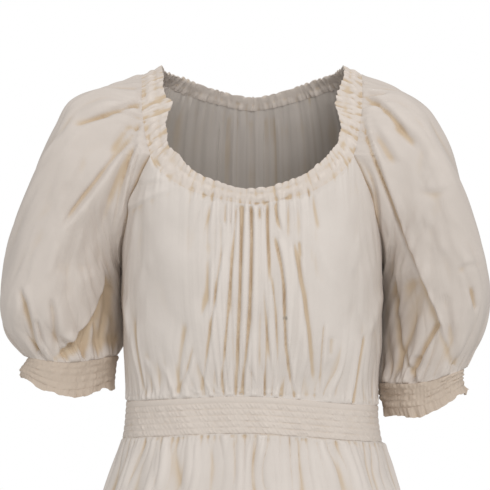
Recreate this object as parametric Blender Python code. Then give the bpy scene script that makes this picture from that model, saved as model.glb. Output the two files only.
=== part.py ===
"""A tiered midi dress in cream cotton, filled out as if it were worn.

Metres, +Z up. The origin lies between the two shoulder points of the neckline, the front faces -Y and
the wearer's left is +X. Each piece of cloth is one closed wall: a grid of outer points that follows the
garment, and a second grid moved inwards by the thickness of the cloth. Neighbouring pieces are worked
out from the same seam lines and each stops just short of them.
"""

import math

import bpy
import numpy as np

# Cloth and seams
CLOTH = 0.0012
SEAM_GAP = 0.0003

# Heights of the seams that run round the dress
WAIST_TOP = -0.3606
WAIST_BOTTOM = -0.3996
FIRST_TIER_SEAM = -0.6450
SECOND_TIER_SEAM = -0.9000
HEM = -1.2000
WAIST_DIP = 0.009  # the waist seams hang this much lower at the sides
WAIST_TILT = 0.0025  # and this much lower still on the wearer's left, higher on the right
FIGURE_SQUARENESS = 2.3  # exponent of the oval sections, 2 for a true ellipse

# The general figure that fills the dress, shoulders to hem
FIGURE = (
    # height, half width, front depth, back depth
    (0.000, 0.1200, 0.030, 0.066),
    (-0.035, 0.1340, 0.055, 0.080),
    (-0.095, 0.1460, 0.088, 0.097),
    (-0.135, 0.1455, 0.101, 0.104),
    (-0.180, 0.1445, 0.113, 0.106),
    (-0.215, 0.1430, 0.118, 0.104),
    (-0.260, 0.1420, 0.118, 0.099),
    (-0.310, 0.1403, 0.110, 0.093),
    (-0.3606, 0.1368, 0.097, 0.089),
    (-0.3996, 0.1395, 0.099, 0.093),
    (-0.465, 0.1570, 0.116, 0.110),
    (-0.550, 0.1870, 0.143, 0.139),
    (-0.645, 0.2130, 0.168, 0.165),
    (-0.900, 0.2650, 0.215, 0.213),
    (-1.200, 0.3180, 0.262, 0.260),
)

# The neckline's free edge from centre front to centre back on the wearer's left, the way that the
# cloth falls from it, and how far down the elastic casing reaches
NECK_EDGE = (
    # share, across, depth, height, fall across, fall depth, fall height, casing
    (0.00, 0.0000, -0.108, -0.1400, 0.00, -0.16, -0.99, 0.0160),
    (0.10, 0.0330, -0.106, -0.1335, 0.16, -0.17, -0.97, 0.0170),
    (0.20, 0.0640, -0.098, -0.1185, 0.36, -0.20, -0.91, 0.0215),
    (0.30, 0.0870, -0.079, -0.0920, 0.70, -0.22, -0.68, 0.0255),
    (0.40, 0.0935, -0.051, -0.0520, 0.92, -0.16, -0.36, 0.0265),
    (0.50, 0.0975, -0.020, -0.0120, 0.93, -0.08, -0.36, 0.0250),
    (0.56, 0.1000, 0.004, 0.0000, 0.93, 0.02, -0.37, 0.0225),
    (0.65, 0.0960, 0.031, -0.0030, 0.87, 0.25, -0.42, 0.0190),
    (0.76, 0.0780, 0.058, -0.0075, 0.62, 0.44, -0.65, 0.0165),
    (0.88, 0.0420, 0.076, -0.0185, 0.27, 0.36, -0.89, 0.0145),
    (1.00, 0.0000, 0.082, -0.0270, 0.00, 0.30, -0.95, 0.0140),
)
SHOULDER_SHARE = 0.53  # where the middle of the sleeve head meets the neckline
FRONT_CORNER_SHARE = 0.36  # where the front raglan seam meets the neckline
BACK_CORNER_SHARE = 0.74

# The raglan seams below their corners: how far round from the side of the body, and the height
FRONT_RAGLAN = (
    # share, degrees from the side, height
    (0.12, 27.8, -0.093),
    (0.24, 25.2, -0.106),
    (0.38, 23.0, -0.125),
    (0.58, 20.6, -0.152),
    (0.80, 16.2, -0.183),
    (1.00, 0.0, -0.215),
)
BACK_RAGLAN = (
    # share, degrees from the side, height
    (0.20, 33.0, -0.060),
    (0.40, 28.0, -0.100),
    (0.60, 20.0, -0.140),
    (0.80, 11.0, -0.180),
    (1.00, 0.0, -0.215),
)

# Sections of the puff sleeves below the armhole. Outer is the side away from the body, inner the
# underarm side, which lies a little towards the back. The two sleeves hang a little differently.
SLEEVES = {
    "left": (
        # share, outer across, outer height, inner across, inner height, inner depth, front, back
        (0.15, 0.1680, -0.0285, 0.1465, -0.222, 0.020, -0.078, 0.086),
        (0.22, 0.1900, -0.0470, 0.1465, -0.227, 0.030, -0.082, 0.088),
        (0.30, 0.2070, -0.0755, 0.1455, -0.233, 0.038, -0.084, 0.090),
        (0.50, 0.2350, -0.1460, 0.1420, -0.252, 0.045, -0.086, 0.091),
        (0.70, 0.2548, -0.2210, 0.1405, -0.282, 0.045, -0.082, 0.088),
        (0.80, 0.2583, -0.2520, 0.1400, -0.301, 0.043, -0.076, 0.082),
        (0.90, 0.2500, -0.2920, 0.1390, -0.326, 0.036, -0.063, 0.067),
        (1.00, 0.2305, -0.3320, 0.1400, -0.348, 0.025, -0.046, 0.048),
    ),
    "right": (
        # share, outer across, outer height, inner across, inner height, inner depth, front, back
        (0.15, 0.1700, -0.0235, 0.1465, -0.221, 0.020, -0.078, 0.086),
        (0.22, 0.1970, -0.0385, 0.1465, -0.225, 0.030, -0.082, 0.088),
        (0.30, 0.2130, -0.0660, 0.1455, -0.230, 0.038, -0.084, 0.090),
        (0.50, 0.2430, -0.1370, 0.1420, -0.244, 0.045, -0.086, 0.091),
        (0.70, 0.2650, -0.2110, 0.1405, -0.266, 0.045, -0.082, 0.088),
        (0.85, 0.2737, -0.2680, 0.1400, -0.290, 0.042, -0.074, 0.080),
        (0.93, 0.2665, -0.2930, 0.1420, -0.303, 0.034, -0.060, 0.064),
        (1.00, 0.2440, -0.3195, 0.1495, -0.3175, 0.024, -0.047, 0.049),
    ),
}
CUFFS = {
    "left": (
        # share, outer across, outer height, inner across, inner height, inner depth, front, back, front drop
        (0.00, 0.2305, -0.3320, 0.1400, -0.348, 0.025, -0.046, 0.048, 0.006),
        (0.75, 0.2300, -0.3490, 0.1455, -0.375, 0.020, -0.046, 0.046, 0.008),
        (1.00, 0.2335, -0.3570, 0.1475, -0.384, 0.018, -0.049, 0.048, 0.010),
    ),
    "right": (
        # share, outer across, outer height, inner across, inner height, inner depth, front, back, front drop
        (0.00, 0.2440, -0.3195, 0.1495, -0.3175, 0.024, -0.047, 0.049, 0.006),
        (0.75, 0.2530, -0.3345, 0.1520, -0.3455, 0.018, -0.047, 0.047, 0.014),
        (1.00, 0.2530, -0.3400, 0.1530, -0.3535, 0.016, -0.050, 0.049, 0.016),
    ),
}
CUFF_SHARE = 0.75  # the band's part of the cuff, above its frill
CUFF_FRONT_DROP = 0.006  # the front of each sleeve hangs this much lower at its cuff

# The largest folds on the front of the sleeves, as seen from the front: three points of a curve
SLEEVE_FOLDS = {
    "left": (
        # across, height, across, height, across, height, half width, depth
        (0.133, -0.070, 0.152, -0.145, 0.200, -0.278, 0.008, 0.007),
        (0.120, -0.026, 0.166, -0.050, 0.198, -0.096, 0.008, 0.005),
        (0.206, -0.280, 0.198, -0.300, 0.182, -0.318, 0.008, 0.005),
    ),
    "right": (
        # across, height, across, height, across, height, half width, depth
        (0.112, -0.040, 0.156, -0.044, 0.205, -0.066, 0.008, 0.005),
        (0.130, -0.080, 0.168, -0.122, 0.219, -0.190, 0.009, 0.005),
        (0.150, -0.165, 0.158, -0.225, 0.190, -0.310, 0.008, 0.007),
    ),
}

# Gathers, as waves round the whole of each edge or panel, and their heights
NECK_WAVES = 27
NECK_WAVE_HEIGHT = 0.0018
FRONT_NECK_WAVES = 16
BACK_NECK_WAVES = 10
BODICE_NECK_HEIGHT = 0.0021
FRONT_WAIST_WAVES = 20
BACK_WAIST_WAVES = 15
BODICE_WAIST_HEIGHT = 0.0015
SLEEVE_HEAD_WAVES = 18  # of which a third lies along the neckline
SLEEVE_HEAD_HEIGHT = 0.0020
CUFF_GATHERS = 12
CUFF_GATHER_HEIGHT = 0.0026
FRILL_WAVES = 10
FRILL_HEIGHT = 0.0022
TIER_WAVES = 18
WAIST_CHANNELS = 5
CUFF_CHANNELS = 4
CHANNEL_HEIGHT = 0.0007

# Each tier of the skirt: its two seams, how far it stands out below its gathers, and its waves
TIERS = (
    # name, top, bottom, spring, wave height at the top, wave height at the bottom
    ("tier_1", WAIST_BOTTOM, FIRST_TIER_SEAM, 0.004, 0.0015, 0.0055),
    ("tier_2", FIRST_TIER_SEAM, SECOND_TIER_SEAM, 0.010, 0.0025, 0.0065),
    ("tier_3", SECOND_TIER_SEAM, HEM, 0.010, 0.0025, 0.0120),
)

COTTON = (0.80, 0.74, 0.65)
COTTON_SHADE = (0.77, 0.70, 0.61)


def smooth(at, knots, values, period=None):
    """A smooth curve through values at the knots, read at `at` (cubic, with the slope at a knot taken
    from its two neighbours). With a period the curve closes on itself."""
    knots = np.asarray(knots, float)
    values = np.asarray(values, float)
    if period is not None:
        knots = np.concatenate([knots[-2:] - period, knots, knots[:2] + period])
        values = np.concatenate([values[-2:], values, values[:2]])
    slopes = np.gradient(values, knots, axis=0)
    at = np.clip(np.asarray(at, float), knots[0], knots[-1])
    i = np.clip(np.searchsorted(knots, at, side="right") - 1, 0, len(knots) - 2)
    step = knots[i + 1] - knots[i]
    t = (at - knots[i]) / step
    more = (1,) * (values.ndim - 1)
    t = t.reshape(t.shape + more)
    step = step.reshape(step.shape + more)
    start = (1 + 2 * t) * (1 - t) ** 2 * values[i] + t * (1 - t) ** 2 * step * slopes[i]
    end = t * t * (3 - 2 * t) * values[i + 1] + t * t * (t - 1) * step * slopes[i + 1]
    return start + end


def columns(table):
    """The table's first column, and the rest of its columns as an array."""
    rows = np.array(table, float)
    return rows[:, 0], rows[:, 1:]


def unit(vectors):
    """Each vector at length one."""
    return vectors / np.maximum(np.linalg.norm(vectors, axis=-1, keepdims=True), 1e-12)


def figure_point(turn, height):
    """A point on the figure: turn runs from 0 at the wearer's left through +90 degrees at the back."""
    heights, sizes = columns(FIGURE[::-1])
    half_width, front, back = np.moveaxis(smooth(height, heights, sizes), -1, 0)
    depth = np.where(np.sin(turn) < 0, front, back)
    across = np.abs(np.cos(turn) / half_width) ** FIGURE_SQUARENESS
    along = np.abs(np.sin(turn) / depth) ** FIGURE_SQUARENESS
    radius = (across + along) ** (-1 / FIGURE_SQUARENESS)
    return np.stack([radius * np.cos(turn), radius * np.sin(turn), height + 0 * turn], axis=-1)


def figure_outward(turn, height):
    """The way out of the figure at a point on it."""
    turned = figure_point(turn + 0.01, height) - figure_point(turn - 0.01, height)
    raised = figure_point(turn, height + 0.004) - figure_point(turn, height - 0.004)
    return unit(np.cross(turned, raised))


def neck_ring(share):
    """The neckline's edge, its fall, its outward direction and the casing's width; share runs 0 to 1
    down the wearer's left, front to back, and on to 2 at the front again."""
    knots, values = columns(NECK_EDGE)
    mirrored = values[-2:0:-1] * np.array([-1, 1, 1, -1, 1, 1, 1])
    knots = np.concatenate([knots, 2 - knots[-2:0:-1]])
    values = np.concatenate([values, mirrored])
    here = smooth(np.mod(share, 2), knots, values, period=2)
    ahead = smooth(np.mod(share + 0.01, 2), knots, values, period=2)
    behind = smooth(np.mod(share - 0.01, 2), knots, values, period=2)
    fall = unit(here[..., 3:6])
    outward = unit(np.cross(fall, ahead[..., :3] - behind[..., :3]))
    return here[..., :3], fall, outward, here[..., 6:]


def neck_seam(share):
    """Where the casing ends and the bodice and sleeves begin."""
    edge, fall, outward, casing = neck_ring(share)
    return edge + casing * fall, outward


def raglan_seam(side, face, share):
    """The seam from the neck corner to the underarm. side is +1 on the wearer's left; face is -1 on
    the front and +1 on the back."""
    corner_share = FRONT_CORNER_SHARE if face < 0 else BACK_CORNER_SHARE
    corner, corner_outward = neck_seam(np.array([corner_share]))
    corner, corner_outward = corner[0], corner_outward[0]
    first_turn = math.atan2(abs(corner[1]), corner[0])
    knots, rows = columns(FRONT_RAGLAN if face < 0 else BACK_RAGLAN)
    turns = np.concatenate([[first_turn], np.radians(rows[:, 0])])
    heights = np.concatenate([[corner[2]], rows[:, 1]])
    knots = np.concatenate([[0.0], knots])
    turn = face * smooth(share, knots, turns)
    height = smooth(share, knots, heights)
    start = figure_point(np.array(face * first_turn), np.array(corner[2]))
    hold = (1 - share)[..., None] ** 2
    points = figure_point(turn, height) + hold * (corner - start)
    outward = unit(figure_outward(turn, height) * (1 - hold) + hold * corner_outward)
    flip = np.array([side, 1, 1])
    return points * flip, outward * flip


def grid_outward(points, closed, centre):
    """The way out of a grid of points at each of them, away from the centre line."""
    along = np.gradient(points, axis=0)
    if closed:
        across = np.roll(points, -1, axis=1) - np.roll(points, 1, axis=1)
    else:
        across = np.gradient(points, axis=1)
    outward = unit(np.cross(along, across))
    facing = np.sign(np.sum(outward * (points - centre), axis=-1, keepdims=True))
    return outward * np.where(facing == 0, 1, facing)


def pulled_back(points, first=True, last=True, left=False, right=False):
    """The grid with its named edges moved half a seam gap inwards."""
    points = points.copy()
    if first:
        points[0] += SEAM_GAP / 2 * unit(points[1] - points[0])
    if last:
        points[-1] += SEAM_GAP / 2 * unit(points[-2] - points[-1])
    if left:
        points[:, 0] += SEAM_GAP / 2 * unit(points[:, 1] - points[:, 0])
    if right:
        points[:, -1] += SEAM_GAP / 2 * unit(points[:, -2] - points[:, -1])
    return points


def cloth_material(name, colour):
    material = bpy.data.materials.new(name)
    material.use_nodes = True
    shader = material.node_tree.nodes["Principled BSDF"]
    shader.inputs["Base Color"].default_value = (*colour, 1)
    shader.inputs["Roughness"].default_value = 0.85
    shader.inputs["Metallic"].default_value = 0
    return material


def skin(rows, closed):
    """Two triangles for each cell of a grid of point numbers."""
    if closed:
        rows = np.concatenate([rows, rows[:, :1]], axis=1)
    a, b, c, d = rows[:-1, :-1], rows[:-1, 1:], rows[1:, 1:], rows[1:, :-1]
    triangles = np.stack([a, b, c, a, c, d], axis=-1)
    return triangles.reshape(-1, 3)


def wall(name, outer, inner, material, closed):
    """One closed piece of cloth between a grid of outer points and a grid of inner points. The two
    have the same columns, and may have different rows."""
    outer_rows = np.arange(outer.shape[0] * outer.shape[1]).reshape(outer.shape[:2])
    inner_rows = np.arange(inner.shape[0] * inner.shape[1]).reshape(inner.shape[:2]) + outer_rows.size
    faces = [*skin(outer_rows, closed).tolist(), *skin(inner_rows, closed)[:, ::-1].tolist()]
    faces += skin(np.stack([inner_rows[0], outer_rows[0]]), closed).tolist()
    faces += skin(np.stack([outer_rows[-1], inner_rows[-1]]), closed).tolist()
    if not closed:
        faces.append([*outer_rows[:, 0].tolist(), *inner_rows[::-1, 0].tolist()])
        faces.append([*outer_rows[::-1, -1].tolist(), *inner_rows[:, -1].tolist()])
    points = np.concatenate([outer.reshape(-1, 3), inner.reshape(-1, 3)])
    corners = points[skin(outer_rows, closed)]
    middle = points.mean(axis=0)
    normals = np.cross(corners[:, 1] - corners[:, 0], corners[:, 2] - corners[:, 0])
    if np.sum(normals * (corners.mean(axis=1) - middle)) < 0:
        faces = [face[::-1] for face in faces]
    mesh = bpy.data.meshes.new(name)
    mesh.from_pydata(points.tolist(), [], faces)
    mesh.validate()
    mesh.materials.append(material)
    mesh.shade_smooth()
    mesh.set_sharp_from_angle(angle=math.radians(60))
    piece = bpy.data.objects.new(name, mesh)
    bpy.context.scene.collection.objects.link(piece)
    return piece


def cloth_wall(name, points, outward, heights, material, closed):
    """A wall whose outer face stands `heights` off the given grid."""
    outer = points + heights[..., None] * outward
    return wall(name, outer, outer - CLOTH * outward, material, closed)


def waves(turns, count, phase=0.0, wander=0.5):
    """Uneven waves: `count` of them for each whole turn of `turns`, which runs from 0 to 1."""
    angle = 2 * math.pi * turns
    drift = wander * np.sin(3 * angle + 1.3 + phase) + 0.5 * wander * np.sin(5 * angle + 2.1 * phase)
    return np.sin(count * angle + drift + phase)


def neck_casing(material):
    """The elastic casing round the neck, with its narrow frill above the stitching."""
    columns_round = 4 * NECK_WAVES
    share = 2 * np.arange(columns_round) / columns_round
    edge, fall, outward, casing = neck_ring(share)
    # down the casing: share of its width, rise and wave
    profile = ((0.0, 0.0, 1.3), (0.35, -0.0008, 0.6), (0.70, 0.0008, 0.8), (1.0, 0.0, 0.8))
    wave = waves(share / 2, NECK_WAVES)
    points = np.stack([edge + down * casing * fall for down, _, _ in profile])
    heights = np.stack([rise + size * NECK_WAVE_HEIGHT * wave for _, rise, size in profile])
    points = pulled_back(points, first=False)
    ways_out = np.stack([outward] * len(profile))
    return cloth_wall("neck_casing", points, ways_out, heights, material, closed=True)


def bodice_top(face, neck_cells, raglan_cells):
    """The top edge of a bodice panel from underarm to underarm, as points, outward directions and a
    position from -1 to 1."""
    if face < 0:
        neck_share = FRONT_CORNER_SHARE * np.linspace(0, 1, neck_cells + 1)
    else:
        neck_share = 1 + (BACK_CORNER_SHARE - 1) * np.linspace(0, 1, neck_cells + 1)
    neck_points, neck_outward = neck_seam(neck_share)
    down = np.linspace(0, 1, raglan_cells + 1)[1:]
    seam_points, seam_outward = raglan_seam(1, face, down)
    half = np.concatenate([neck_points, seam_points])
    half_outward = np.concatenate([neck_outward, seam_outward])
    mirror = np.array([-1, 1, 1])
    points = np.concatenate([half[:0:-1] * mirror, half])
    outward = np.concatenate([half_outward[:0:-1] * mirror, half_outward])
    cells = neck_cells + raglan_cells
    return points, outward, np.linspace(-1, 1, 2 * cells + 1)


def waist_height(turn, height):
    """The height of a seam at the waist, lower at the sides and lowest on the wearer's left."""
    return height - WAIST_DIP * np.cos(turn) ** 2 - WAIST_TILT * np.cos(turn)


def bodice_panel(name, face, neck_cells, raglan_cells, downs, neck_waves, waist_waves, material):
    """The front or back of the bodice, from the neck and raglan seams down to the waistband."""
    top, top_outward, position = bodice_top(face, neck_cells, raglan_cells)
    top_turn = np.arctan2(top[:, 1], top[:, 0])
    top_turn = np.where(top_turn * face < 0, 0, top_turn)
    waist_turn = face * math.pi / 2 * (1 - position)
    top_turn[0] = waist_turn[0]
    down = np.array(downs)[:, None]
    turn = top_turn * (1 - down) + waist_turn * down
    bottom = waist_height(waist_turn, WAIST_TOP)
    height = top[:, 2] * (1 - down) + bottom * down
    hold = (1 - down)[..., None] ** 2.5
    correction = top - figure_point(top_turn, top[:, 2])
    points = figure_point(turn, height) + hold * correction
    outward = unit(figure_outward(turn, height) * (1 - hold) + hold * top_outward)
    level = down[..., None] ** 8
    outward = unit(outward * (1 - level * np.array([0, 0, 1])))
    neck_edge_share = neck_cells / (neck_cells + raglan_cells)
    along = position / neck_edge_share
    inside = np.clip((1.15 - np.abs(along)) / 0.3, 0, 1)
    neck = np.sin(math.pi * neck_waves * along + 0.7 * np.sin(4 * along)) * inside
    waist = np.sin(math.pi * waist_waves * position + 0.8 * np.sin(5 * position))
    side_fade = np.clip((1 - np.abs(position)) / 0.12, 0, 1)
    neck_size = BODICE_NECK_HEIGHT * (0.25 + 0.75 * np.exp(-down / 0.35)) * (1 - 0.6 * down)
    waist_size = BODICE_WAIST_HEIGHT * np.exp(-(1 - down) / 0.15)
    heights = neck_size * neck + waist_size * waist * side_fade
    points = pulled_back(points, left=True, right=True)
    return cloth_wall(name, points, outward, heights, material, closed=False)


def armhole(side, neck_cells, raglan_cells):
    """The sleeve's top edge, once round: from the shoulder down the front to the underarm and up the
    back. Returns points, outward directions and the angle round the sleeve."""
    sides = []
    for face, corner in ((-1, FRONT_CORNER_SHARE), (1, BACK_CORNER_SHARE)):
        share = np.linspace(SHOULDER_SHARE, corner, neck_cells + 1)
        neck_points, neck_outward = neck_seam(share)
        mirror = np.array([side, 1, 1])
        down = np.linspace(0, 1, raglan_cells + 1)[1:]
        seam_points, seam_outward = raglan_seam(side, face, down)
        points = np.concatenate([neck_points * mirror, seam_points])
        outward = np.concatenate([neck_outward * mirror, seam_outward])
        steps = np.linalg.norm(np.diff(points, axis=0), axis=1)
        angle = math.pi * np.concatenate([[0], np.cumsum(steps)]) / steps.sum()
        sides.append((points, outward, angle))
    (front, front_outward, front_angle), (back, back_outward, back_angle) = sides
    points = np.concatenate([front, back[-2:0:-1]])
    outward = np.concatenate([front_outward, back_outward[-2:0:-1]])
    angle = np.concatenate([front_angle, 2 * math.pi - back_angle[-2:0:-1]])
    return points, outward, angle


def section(side, row, angle, front_drop=0.0):
    """One section round an arm: angle 0 is its outer side, 90 degrees its front, 180 the underarm.
    Returns the points and the section's middle."""
    outer_across, outer_height, inner_across, inner_height, inner_depth, front, back = row
    middle_depth = (front + back) / 2
    outer = np.array([side * outer_across, 2 * middle_depth - inner_depth, outer_height])
    inner = np.array([side * inner_across, inner_depth, inner_height])
    middle = (outer + inner) / 2
    to_outer = (outer - inner) / 2
    reach = math.sqrt(max((back - front) ** 2 / 4 - to_outer[1] ** 2, 0))
    to_front = np.array([0, -reach, 0])
    points = middle + np.cos(angle)[:, None] * to_outer + np.sin(angle)[:, None] * to_front
    points[:, 2] -= front_drop * np.sin(angle) ** 3
    return points, middle


def fold_depth(points, side, folds):
    """How far each point sinks into the folds listed for a sleeve, seen from the front."""
    depth = np.zeros(points.shape[:-1])
    t = np.linspace(0, 1, 25)[:, None]
    for row in folds:
        start, bend, end = np.array(row[:6]).reshape(3, 2)
        half_width, size = row[6:]
        path = (1 - t) ** 2 * start + 2 * t * (1 - t) * bend + t * t * end
        seen = points[..., [0, 2]] * np.array([side, 1])
        away = np.linalg.norm(seen[..., None, :] - path, axis=-1)
        nearest = np.argmin(away, axis=-1) / (len(t) - 1)
        away = away.min(axis=-1)
        depth += size * np.exp(-((away / half_width) ** 2)) * np.sin(math.pi * nearest) ** 0.5
    return depth * (points[..., 1] < -0.01)


def sleeve(name, material):
    """A raglan puff sleeve, from the neckline and armhole down to the top of its cuff."""
    side = 1 if name == "left" else -1
    top, top_outward, angle = armhole(side, neck_cells=10, raglan_cells=14)
    shares, rows = columns(SLEEVES[name])
    drops = CUFF_FRONT_DROP * np.clip((shares - 0.7) / 0.3, 0, 1)
    rings = [section(side, row, angle, drop) for row, drop in zip(rows, drops)]
    knots = np.concatenate([[0.0], shares])
    net = np.stack([top, *[points for points, _ in rings]])
    middles = np.stack([top.mean(axis=0), *[middle for _, middle in rings]])
    down = np.array([0, 0.07, 0.15, 0.24, 0.38, 0.55, 0.72, 0.85, 0.93, 1.0])
    points = smooth(down, knots, net)
    centre = smooth(down, knots, middles)[:, None]
    outward = grid_outward(points, True, centre)
    outward[0] = top_outward
    outward[1] = unit(outward[1] + top_outward)
    outward[-1] = unit(outward[-1] * np.array([1, 1, 0.3]))
    down = down[:, None]
    head = np.cos(SLEEVE_HEAD_WAVES * angle) * np.exp(-((np.minimum(angle, 2 * math.pi - angle) / 1.1) ** 4))
    under = np.clip(np.abs(angle - math.pi) / 0.7, 0.15, 1)
    cuff = np.cos(CUFF_GATHERS * angle + 0.6 * np.sin(3 * angle)) * under
    heights = SLEEVE_HEAD_HEIGHT * head * np.exp(-down / 0.14)
    heights = heights + CUFF_GATHER_HEIGHT * cuff * np.exp(-(1 - down) / 0.12) * (0.4 + 0.6 * (down < 1))
    heights = heights - fold_depth(points, side, SLEEVE_FOLDS[name]) * under * (down > 0)
    points = pulled_back(points)
    return cloth_wall("sleeve_" + name, points, outward, heights, material, closed=True)


def cuff_rings(name, cells, shares):
    """Sections of a cuff at the given shares of its height, with the way out of each."""
    side = 1 if name == "left" else -1
    angle = 2 * math.pi * np.arange(cells) / cells
    knots, rows = columns(CUFFS[name])
    rows = smooth(shares, knots, rows)
    points = np.stack([section(side, row[:-1], angle, row[-1])[0] for row in rows])
    middle = points.mean(axis=1, keepdims=True)
    outward = unit((points - middle) * np.array([1, 1, 0.3]))
    return points, outward, angle


def cuff_band(name, material):
    """The band of a cuff, its stitched channels raised on the outer face over a plain inside."""
    down = np.linspace(0, 1, 2 * CUFF_CHANNELS + 1)
    points, outward, angle = cuff_rings(name, 30, CUFF_SHARE * down)
    points = pulled_back(points)
    crown = CHANNEL_HEIGHT * (np.arange(2 * CUFF_CHANNELS + 1) % 2)[:, None]
    pucker = 0.0004 * (1 + np.cos(10 * angle))
    outer = points + (crown + pucker)[..., None] * outward
    inner = points[[0, -1]] - CLOTH * outward[[0, -1]]
    return wall("cuff_" + name, outer, inner, material, closed=True)


def cuff_frill(name, material):
    """The small gathered edge below the stitching of a cuff."""
    points, outward, angle = cuff_rings(name, 4 * FRILL_WAVES, np.array([CUFF_SHARE, 1.0]))
    size = np.array([0.25, 1.0])[:, None]
    heights = FRILL_HEIGHT * size * np.sin(FRILL_WAVES * angle + 0.4 * np.sin(2 * angle))
    heights = np.where(np.abs(angle - math.pi) < 0.8, 0.5 * heights, heights)
    points = pulled_back(points, last=False)
    return cloth_wall("cuff_frill_" + name, points, outward, heights, material, closed=True)


def panel_turns(face, cells):
    """Angles round the body across a front or back panel, from the wearer's right to the left."""
    return face * math.pi / 2 * (1 - np.linspace(-1, 1, cells + 1))


def level_outward(turn, height):
    """The way out of the figure, kept level, so that seams between tiers stay flat."""
    return unit(figure_outward(turn, height) * np.array([1, 1, 0]))


def waistband(name, face, material):
    """Half of the waistband, its stitched channels raised on the outer face over a plain inside."""
    turn = panel_turns(face, 24)
    down = np.linspace(0, 1, 2 * WAIST_CHANNELS + 1)[:, None]
    height = waist_height(turn, WAIST_TOP * (1 - down) + WAIST_BOTTOM * down)
    points = figure_point(turn + 0 * down, height)
    outward = level_outward(turn + 0 * down, height)
    points = pulled_back(points, left=True, right=True)
    crown = CHANNEL_HEIGHT * (np.arange(2 * WAIST_CHANNELS + 1) % 2)
    outer = points + (0.0004 + crown)[:, None, None] * outward
    inner = points[[0, -1]] - CLOTH * outward[[0, -1]]
    return wall(name, outer, inner, material, closed=False)


def skirt_wave(turn):
    """The soft folds that run down the whole skirt."""
    return waves(turn / (2 * math.pi), TIER_WAVES, phase=0.4, wander=0.8)


def tier_panel(name, face, tier, material):
    """The front or back of one tier, gathered into the seam above it."""
    _, top, bottom, spring, top_wave, bottom_wave = tier
    turn = panel_turns(face, 2 * TIER_WAVES)
    down = np.array([0, 0.1, 0.35, 0.7, 1.0])[:, None]
    from_top = waist_height(turn, top) if top == WAIST_BOTTOM else top
    height = from_top * (1 - down) + bottom * down
    points = figure_point(turn + 0 * down, height)
    outward = level_outward(turn + 0 * down, height)
    above = 0.0 if top == WAIST_BOTTOM else next(row[5] for row in TIERS if row[2] == top)
    stand = spring * (1 - np.exp(-down / 0.08)) * (1 - 0.8 * down)
    own = top_wave + (bottom_wave - top_wave) * down**0.8
    fine = top_wave * np.exp(-down / 0.15) * waves(turn / (2 * math.pi), TIER_WAVES, 2.2, 0.3)
    carried = above * np.exp(-down / 0.06)
    heights = stand + fine + (own * (1 - np.exp(-down / 0.1)) + carried) * skirt_wave(turn)
    last = bottom != HEM
    points = pulled_back(points, last=last, left=True, right=True)
    return cloth_wall(name, points, outward, heights, material, closed=False)


def main():
    for old in list(bpy.data.objects):
        bpy.data.objects.remove(old)
    cotton = cloth_material("cotton", COTTON)
    stitched = cloth_material("stitched_cotton", COTTON_SHADE)
    neck_casing(stitched)
    front_rows = (0, 0.07, 0.18, 0.38, 0.62, 0.84, 0.94, 1)
    back_rows = (0, 0.08, 0.25, 0.5, 0.76, 0.93, 1)
    bodice_panel("bodice_front", -1, 24, 16, front_rows, FRONT_NECK_WAVES / 2, FRONT_WAIST_WAVES / 2, cotton)
    bodice_panel("bodice_back", 1, 16, 14, back_rows, BACK_NECK_WAVES / 2, BACK_WAIST_WAVES / 2, cotton)
    for name in ("left", "right"):
        sleeve(name, cotton)
        cuff_band(name, stitched)
        cuff_frill(name, stitched)
    for face_name, face in (("front", -1), ("back", 1)):
        waistband("waistband_" + face_name, face, stitched)
        for tier in TIERS:
            tier_panel(tier[0] + "_" + face_name, face, tier, cotton)


main()
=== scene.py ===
"""A tiered midi dress in thin cream cotton, filled out as if it were worn, on a pale studio floor.

Metres, +Z up, the front of the dress faces -Y and the wearer's left is +X. Each piece of cloth is a grid
of points on the general figure, the neckline or an arm, raised and sunk by its gathers and folds, with a
second grid behind it at the thickness of the cloth. The folds that the photograph shows are listed in
tables, in millimetres as seen from the front.
"""

import math

import bpy
import numpy as np
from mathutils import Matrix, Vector


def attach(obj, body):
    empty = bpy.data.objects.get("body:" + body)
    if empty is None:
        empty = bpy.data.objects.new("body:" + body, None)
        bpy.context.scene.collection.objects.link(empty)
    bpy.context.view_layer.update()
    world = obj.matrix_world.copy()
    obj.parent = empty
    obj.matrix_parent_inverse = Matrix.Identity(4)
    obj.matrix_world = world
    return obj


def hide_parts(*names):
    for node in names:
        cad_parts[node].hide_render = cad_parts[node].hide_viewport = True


bl_info = {
    "name": "Tiered midi dress",
    "version": (1, 0, 0),
    "blender": (4, 5, 0),
    "location": "3D View > Sidebar > Dress",
    "description": "Makes a cream cotton dress with a gathered neck, puff sleeves and a tiered skirt",
    "category": "Object",
}

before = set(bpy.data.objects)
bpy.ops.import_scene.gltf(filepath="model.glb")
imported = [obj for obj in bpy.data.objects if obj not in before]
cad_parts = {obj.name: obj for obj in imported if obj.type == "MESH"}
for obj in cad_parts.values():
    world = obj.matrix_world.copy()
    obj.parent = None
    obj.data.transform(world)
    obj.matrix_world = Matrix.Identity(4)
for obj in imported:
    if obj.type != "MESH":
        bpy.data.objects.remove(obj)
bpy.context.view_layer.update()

# The general figure that fills the dress, shoulders to hem
FIGURE = (
    # height, half width, front depth, back depth
    (0.000, 0.1200, 0.030, 0.066),
    (-0.035, 0.1340, 0.055, 0.080),
    (-0.095, 0.1460, 0.088, 0.097),
    (-0.135, 0.1455, 0.101, 0.104),
    (-0.180, 0.1445, 0.113, 0.106),
    (-0.215, 0.1430, 0.118, 0.104),
    (-0.260, 0.1420, 0.118, 0.099),
    (-0.310, 0.1403, 0.110, 0.093),
    (-0.3606, 0.1368, 0.097, 0.089),
    (-0.3996, 0.1395, 0.099, 0.093),
    (-0.465, 0.1570, 0.116, 0.110),
    (-0.550, 0.1870, 0.143, 0.139),
    (-0.645, 0.2130, 0.168, 0.165),
    (-0.900, 0.2650, 0.215, 0.213),
    (-1.200, 0.3180, 0.262, 0.260),
)
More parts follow.
